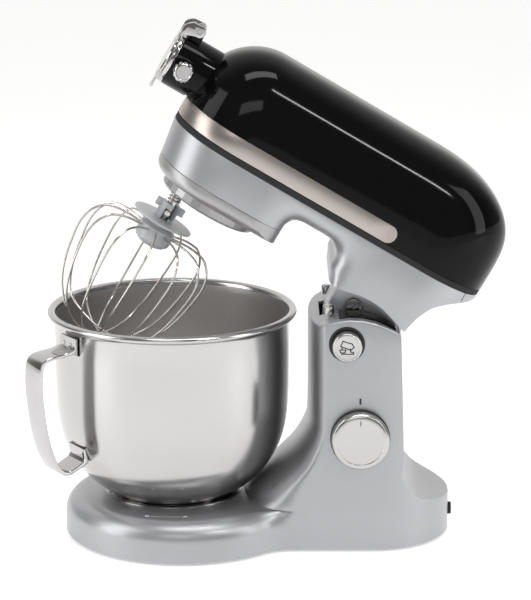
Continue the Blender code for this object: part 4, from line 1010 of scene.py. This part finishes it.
# ---- Tilt bracket: the cast arm under the neck that swings on the hinge pin, with a round recess
# on each side for the bolt that holds the head down on it.
arm = on_arc(63.0, 212, 166, 40, (200.0, 196.0)) + [(143.5, 214), (143.5, 230), (186, 230), (186, 214)]
arm += on_arc(8.6, 50, -110, 32, (200.0, 196.0))
made = shell("tilt_arm", slab(arm, -22, 22, "XZ", 0.8), HEAD, [
    ("DIFFERENCE", rod(4.0, (200, -40, 196), (200, 40, 196), 48)),
    ("DIFFERENCE", rod(4.2, (159, -40, 197), (159, 40, 197), 48)),
    ("DIFFERENCE", rod(9.0, (159, -25, 197), (159, -19, 197), 64)),
    ("DIFFERENCE", rod(9.0, (159, 19, 197), (159, 25, 197), 64))])
fit(made, "head", silver_paint, "silver_paint", "tilt_bracket")
bolt = [(0.0, 21.0), (6.3, 21.0), (7.0, 20.4), (7.0, 19.4), (3.8, 19.4), (3.8, -19.4), (7.0, -19.4),
        (7.0, -20.4), (6.3, -21.0), (0.0, -21.0)]
socket = []
for k in range(6):
    angle = math.radians(60 * k)
    socket.append((3.1 * math.cos(angle) + 159, 3.1 * math.sin(angle) + 197))
made = shell("arm_bolt", spun(bolt, "Y", (159, 0, 197), 48), HEAD, [
    ("DIFFERENCE", slab(socket, -22, -18.5, "XZ")), ("DIFFERENCE", slab(socket, 18.5, 22, "XZ"))])
fit(made, "head", turned_steel, "machined_steel", "bracket_bolt")

# ---- Accessory hub: a plated ring on the tube's end, a plated flap hinged above it on a pin, and
# a clamp screw at the side with a scalloped head that holds an accessory's spigot.
made = shell("hub_ring", spun(softened([(17.3, -97.2), (25.3, -97.2), (25.3, -93.3), (17.3, -93.3)], 0.7, 4),
                              "X", (0, 0, HUB_Z), 96), HEAD)
fit(made, "head", chrome, "chrome", "hub_bezel")
disc = [(0.0, -98.1), (25.4, -98.1), (26.0, -98.6), (26.0, -99.6), (25.0, -100.6), (23.6, -100.9),
        (22.8, -100.6), (22.2, -100.5), (0.0, -100.5)]
ear = [(-100.9, 318), (-98.1, 318), (-98.1, 331.5)]
ear += on_arc(5.6, -100, 100, 24, (PIN_X, PIN_Z)) + [(-94, 346.0), (-97, 344.4), (-99.4, 342), (-100.9, 339)]
made = shell("flap_plate", spun(disc, "X", (0, 0, HUB_Z), 96), HEAD, [
    ("UNION", slab(ear, -14.6, -11.6, "XZ", 0.4)),
    ("UNION", slab(ear, 11.6, 14.6, "XZ", 0.4)),
    ("UNION", brick((-100.7, -9, 276), (-98.3, 9, 290), 0.5)),
    ("DIFFERENCE", rod(2.3, (PIN_X, -20, PIN_Z), (PIN_X, 20, PIN_Z), 32))])
fit(made, "flap", chrome, "chrome", "hub_flap")
screw = [(0.0, -19.0), (3.6, -19.0), (3.6, -38.2), (8.4, -38.2), (9.2, -39.0), (9.2, -43.4), (8.6, -44.9),
         (7.4, -45.9), (6.6, -46.0), (6.2, -45.6), (0.0, -45.6)]
scallops = []
for k in range(12):
    angle = math.radians(30 * k)
    x, z = SCREW_X + 9.9 * math.cos(angle), HUB_Z - 1 + 9.9 * math.sin(angle)
    scallops.append(("DIFFERENCE", rod(1.5, (x, -50, z), (x, -37.0, z), 16)))
made = shell("clamp_knob", spun(screw, "Y", (SCREW_X, 0, HUB_Z - 1), 72), HEAD, scallops)
fit(made, "clamp", chrome, "chrome", "clamp_screw")

# ---- Planetary carrier: a turned disc flush with the gearbox cover that carries the beater shaft
# round. The plate that holds its bearings is above it, inside the casting.
dress(gearbox_silver, "planet_carrier", "gear_plate")

# ---- Beater shaft, spring and whisk: a moulded light grey hub is pushed up against the spring and
# turned under the cross pin; six drawn steel wires cross under it as a balloon.
SHAFT = (-28.5, 0.0, 0.0)
PIN_HEIGHT = 183.0
pin = softened([(0.0, -10.8), (2.9, -10.8), (2.9, 10.8), (0.0, 10.8)], 0.6)
made = shell("drive_pin", spun(pin, "Y", (SHAFT[0], 0, PIN_HEIGHT), 32), HEAD)
fit(made, "beater", turned_steel, "machined_steel", "cross_pin")


def wire_piece(name, points, thickness, finish, body, slot, node, resolution=6):
    """A round wire along points in metres, settled to a mesh."""
    curve = bpy.data.curves.new(name, "CURVE")
    curve.dimensions = "3D"
    curve.bevel_depth = thickness
    curve.bevel_resolution = resolution
    curve.use_fill_caps = True
    line = curve.splines.new("POLY")
    line.points.add(len(points) - 1)
    for spot, point in zip(line.points, points):
        spot.co = (*point, 1.0)
    strand = bpy.data.objects.new(name + "_curve", curve)
    scene.collection.objects.link(strand)
    mesh = bpy.data.meshes.new_from_object(strand.evaluated_get(bpy.context.evaluated_depsgraph_get()))
    bpy.data.objects.remove(strand, do_unlink=True)
    sealed = bmesh.new()
    sealed.from_mesh(mesh)
    bmesh.ops.remove_doubles(sealed, verts=sealed.verts, dist=1e-6)
    sealed.to_mesh(mesh)
    sealed.free()
    made = bpy.data.objects.new(name, mesh)
    scene.collection.objects.link(made)
    return fit(made, body, finish, slot, node, crease=60.0)


COIL_TURNS, COIL_STEPS = 6, 36
COIL_FOOT, COIL_TALL, COIL_R = 192.8, 18.1, 5.75
coil = []
for i in range(COIL_TURNS * COIL_STEPS + 1):
    angle = 2 * math.pi * i / COIL_STEPS
    height = COIL_FOOT + COIL_TALL * i / (COIL_TURNS * COIL_STEPS)
    coil.append(HEAD @ Vector((SHAFT[0] + COIL_R * math.cos(angle), COIL_R * math.sin(angle), height)))
wire_piece("shaft_spring", coil, 0.0008, turned_steel, "beater", "machined_steel", "beater_spring", 3)

whisk_grey = Finish("whisk_grey", (0.47, 0.485, 0.50), 0.34, Coat_Weight=0.2)
cloud = whisk_grey.noise(420.0, 3.0)
whisk_grey.paint(Base_Color=whisk_grey.shades(cloud, 0.9, 1.08), Roughness=0.28 + cloud * 0.14)
whisk_grey.bump(whisk_grey.noise(1300.0, 2.0), 0.00002)
hub = [(0.0, 171.0), (5.0, 171.0), (5.0, 191.5), (9.0, 191.5), (9.5, 191.0), (9.5, 178.0), (10.2, 176.4),
       (12.0, 176.2), (28.6, 175.3), (29.0, 175.0), (29.0, 173.8), (28.6, 173.6), (12.4, 172.7), (12.0, 172.2), (12.0, 169.0),
       (12.6, 168.3), (16.8, 166.6), (17.3, 166.0), (17.5, 156.5), (16.8, 153.4), (13.5, 150.2), (10.6, 148.8),
       (7.0, 148.2), (0.0, 148.0)]
cuts = []
for side in (-1.0, 1.0):
    low, high = sorted((side * 8.8 + SHAFT[0], side * 14.0 + SHAFT[0]))
    cuts.append(("UNION", brick((low, -4.0, 184.6), (high, 4.0, 191.2), 0.6)))
for turn, bottom, top in ((0, 175.8, 186.6), (12, 178.6, 186.5), (24, 178.5, 186.4), (36, 178.7, 194.0)):
    slot_cut = brick((-3.3, -12, bottom), (3.3, 12, top))
    slot_cut.transform(Matrix.Translation(SHAFT) @ Matrix.Rotation(math.radians(turn), 4, "Z"))
    cuts.append(("DIFFERENCE", slot_cut))
made = shell("whisk_socket", spun(hub, "Z", SHAFT, 96), HEAD, cuts)
fit(made, "whisk", whisk_grey, "whisk_grey", "whisk_hub")
wire_steel = Finish("wire_steel", (0.62, 0.60, 0.57), 0.14, 1.0)
drawn = wire_steel.noise(500.0, 3.0)
wire_steel.paint(Roughness=0.09 + drawn * 0.1, Base_Color=wire_steel.shades(drawn, 0.9, 1.06))
wire_steel.bump(drawn, 0.000006)
WIRE_COUNT, WIRE_R = 6, 0.00105
CROSS_STEP, CROSS_R = 2.4, 45.0
BALLOON = [(16.0, 162.5), (33.0, 163.6), (46.0, 161.8), (53.0, 158.6), (59.4, 151.4), (63.2, 141.5),
           (63.8, 130.0), (62.2, 117.0), (60.0, 104.5), (56.4, 91.5), (51.6, 80.0), (45.0, 69.5),
           (36.5, 59.5), (26.0, 52.0), (12.0, 46.3), (0.0, 44.5)]
balloon = smooth_line(BALLOON, 3)
for number in range(WIRE_COUNT):
    side = []
    for radius, z in balloon:
        lift = CROSS_STEP * number * max(0.0, 1.0 - (radius / CROSS_R) ** 2) if z < 100 else 0.0
        side.append((radius, z + lift))
    turn = math.pi * number / WIRE_COUNT
    path = side + [(-radius, z) for radius, z in reversed(side[:-1])]
    points = [HEAD @ Vector((SHAFT[0] + radius * math.cos(turn), radius * math.sin(turn), z))
              for radius, z in path]
    node = "whisk_wire_%d" % (number + 1)
    wire_piece("balloon_" + node, points, WIRE_R, wire_steel, "whisk", "wire_steel", node, 4)
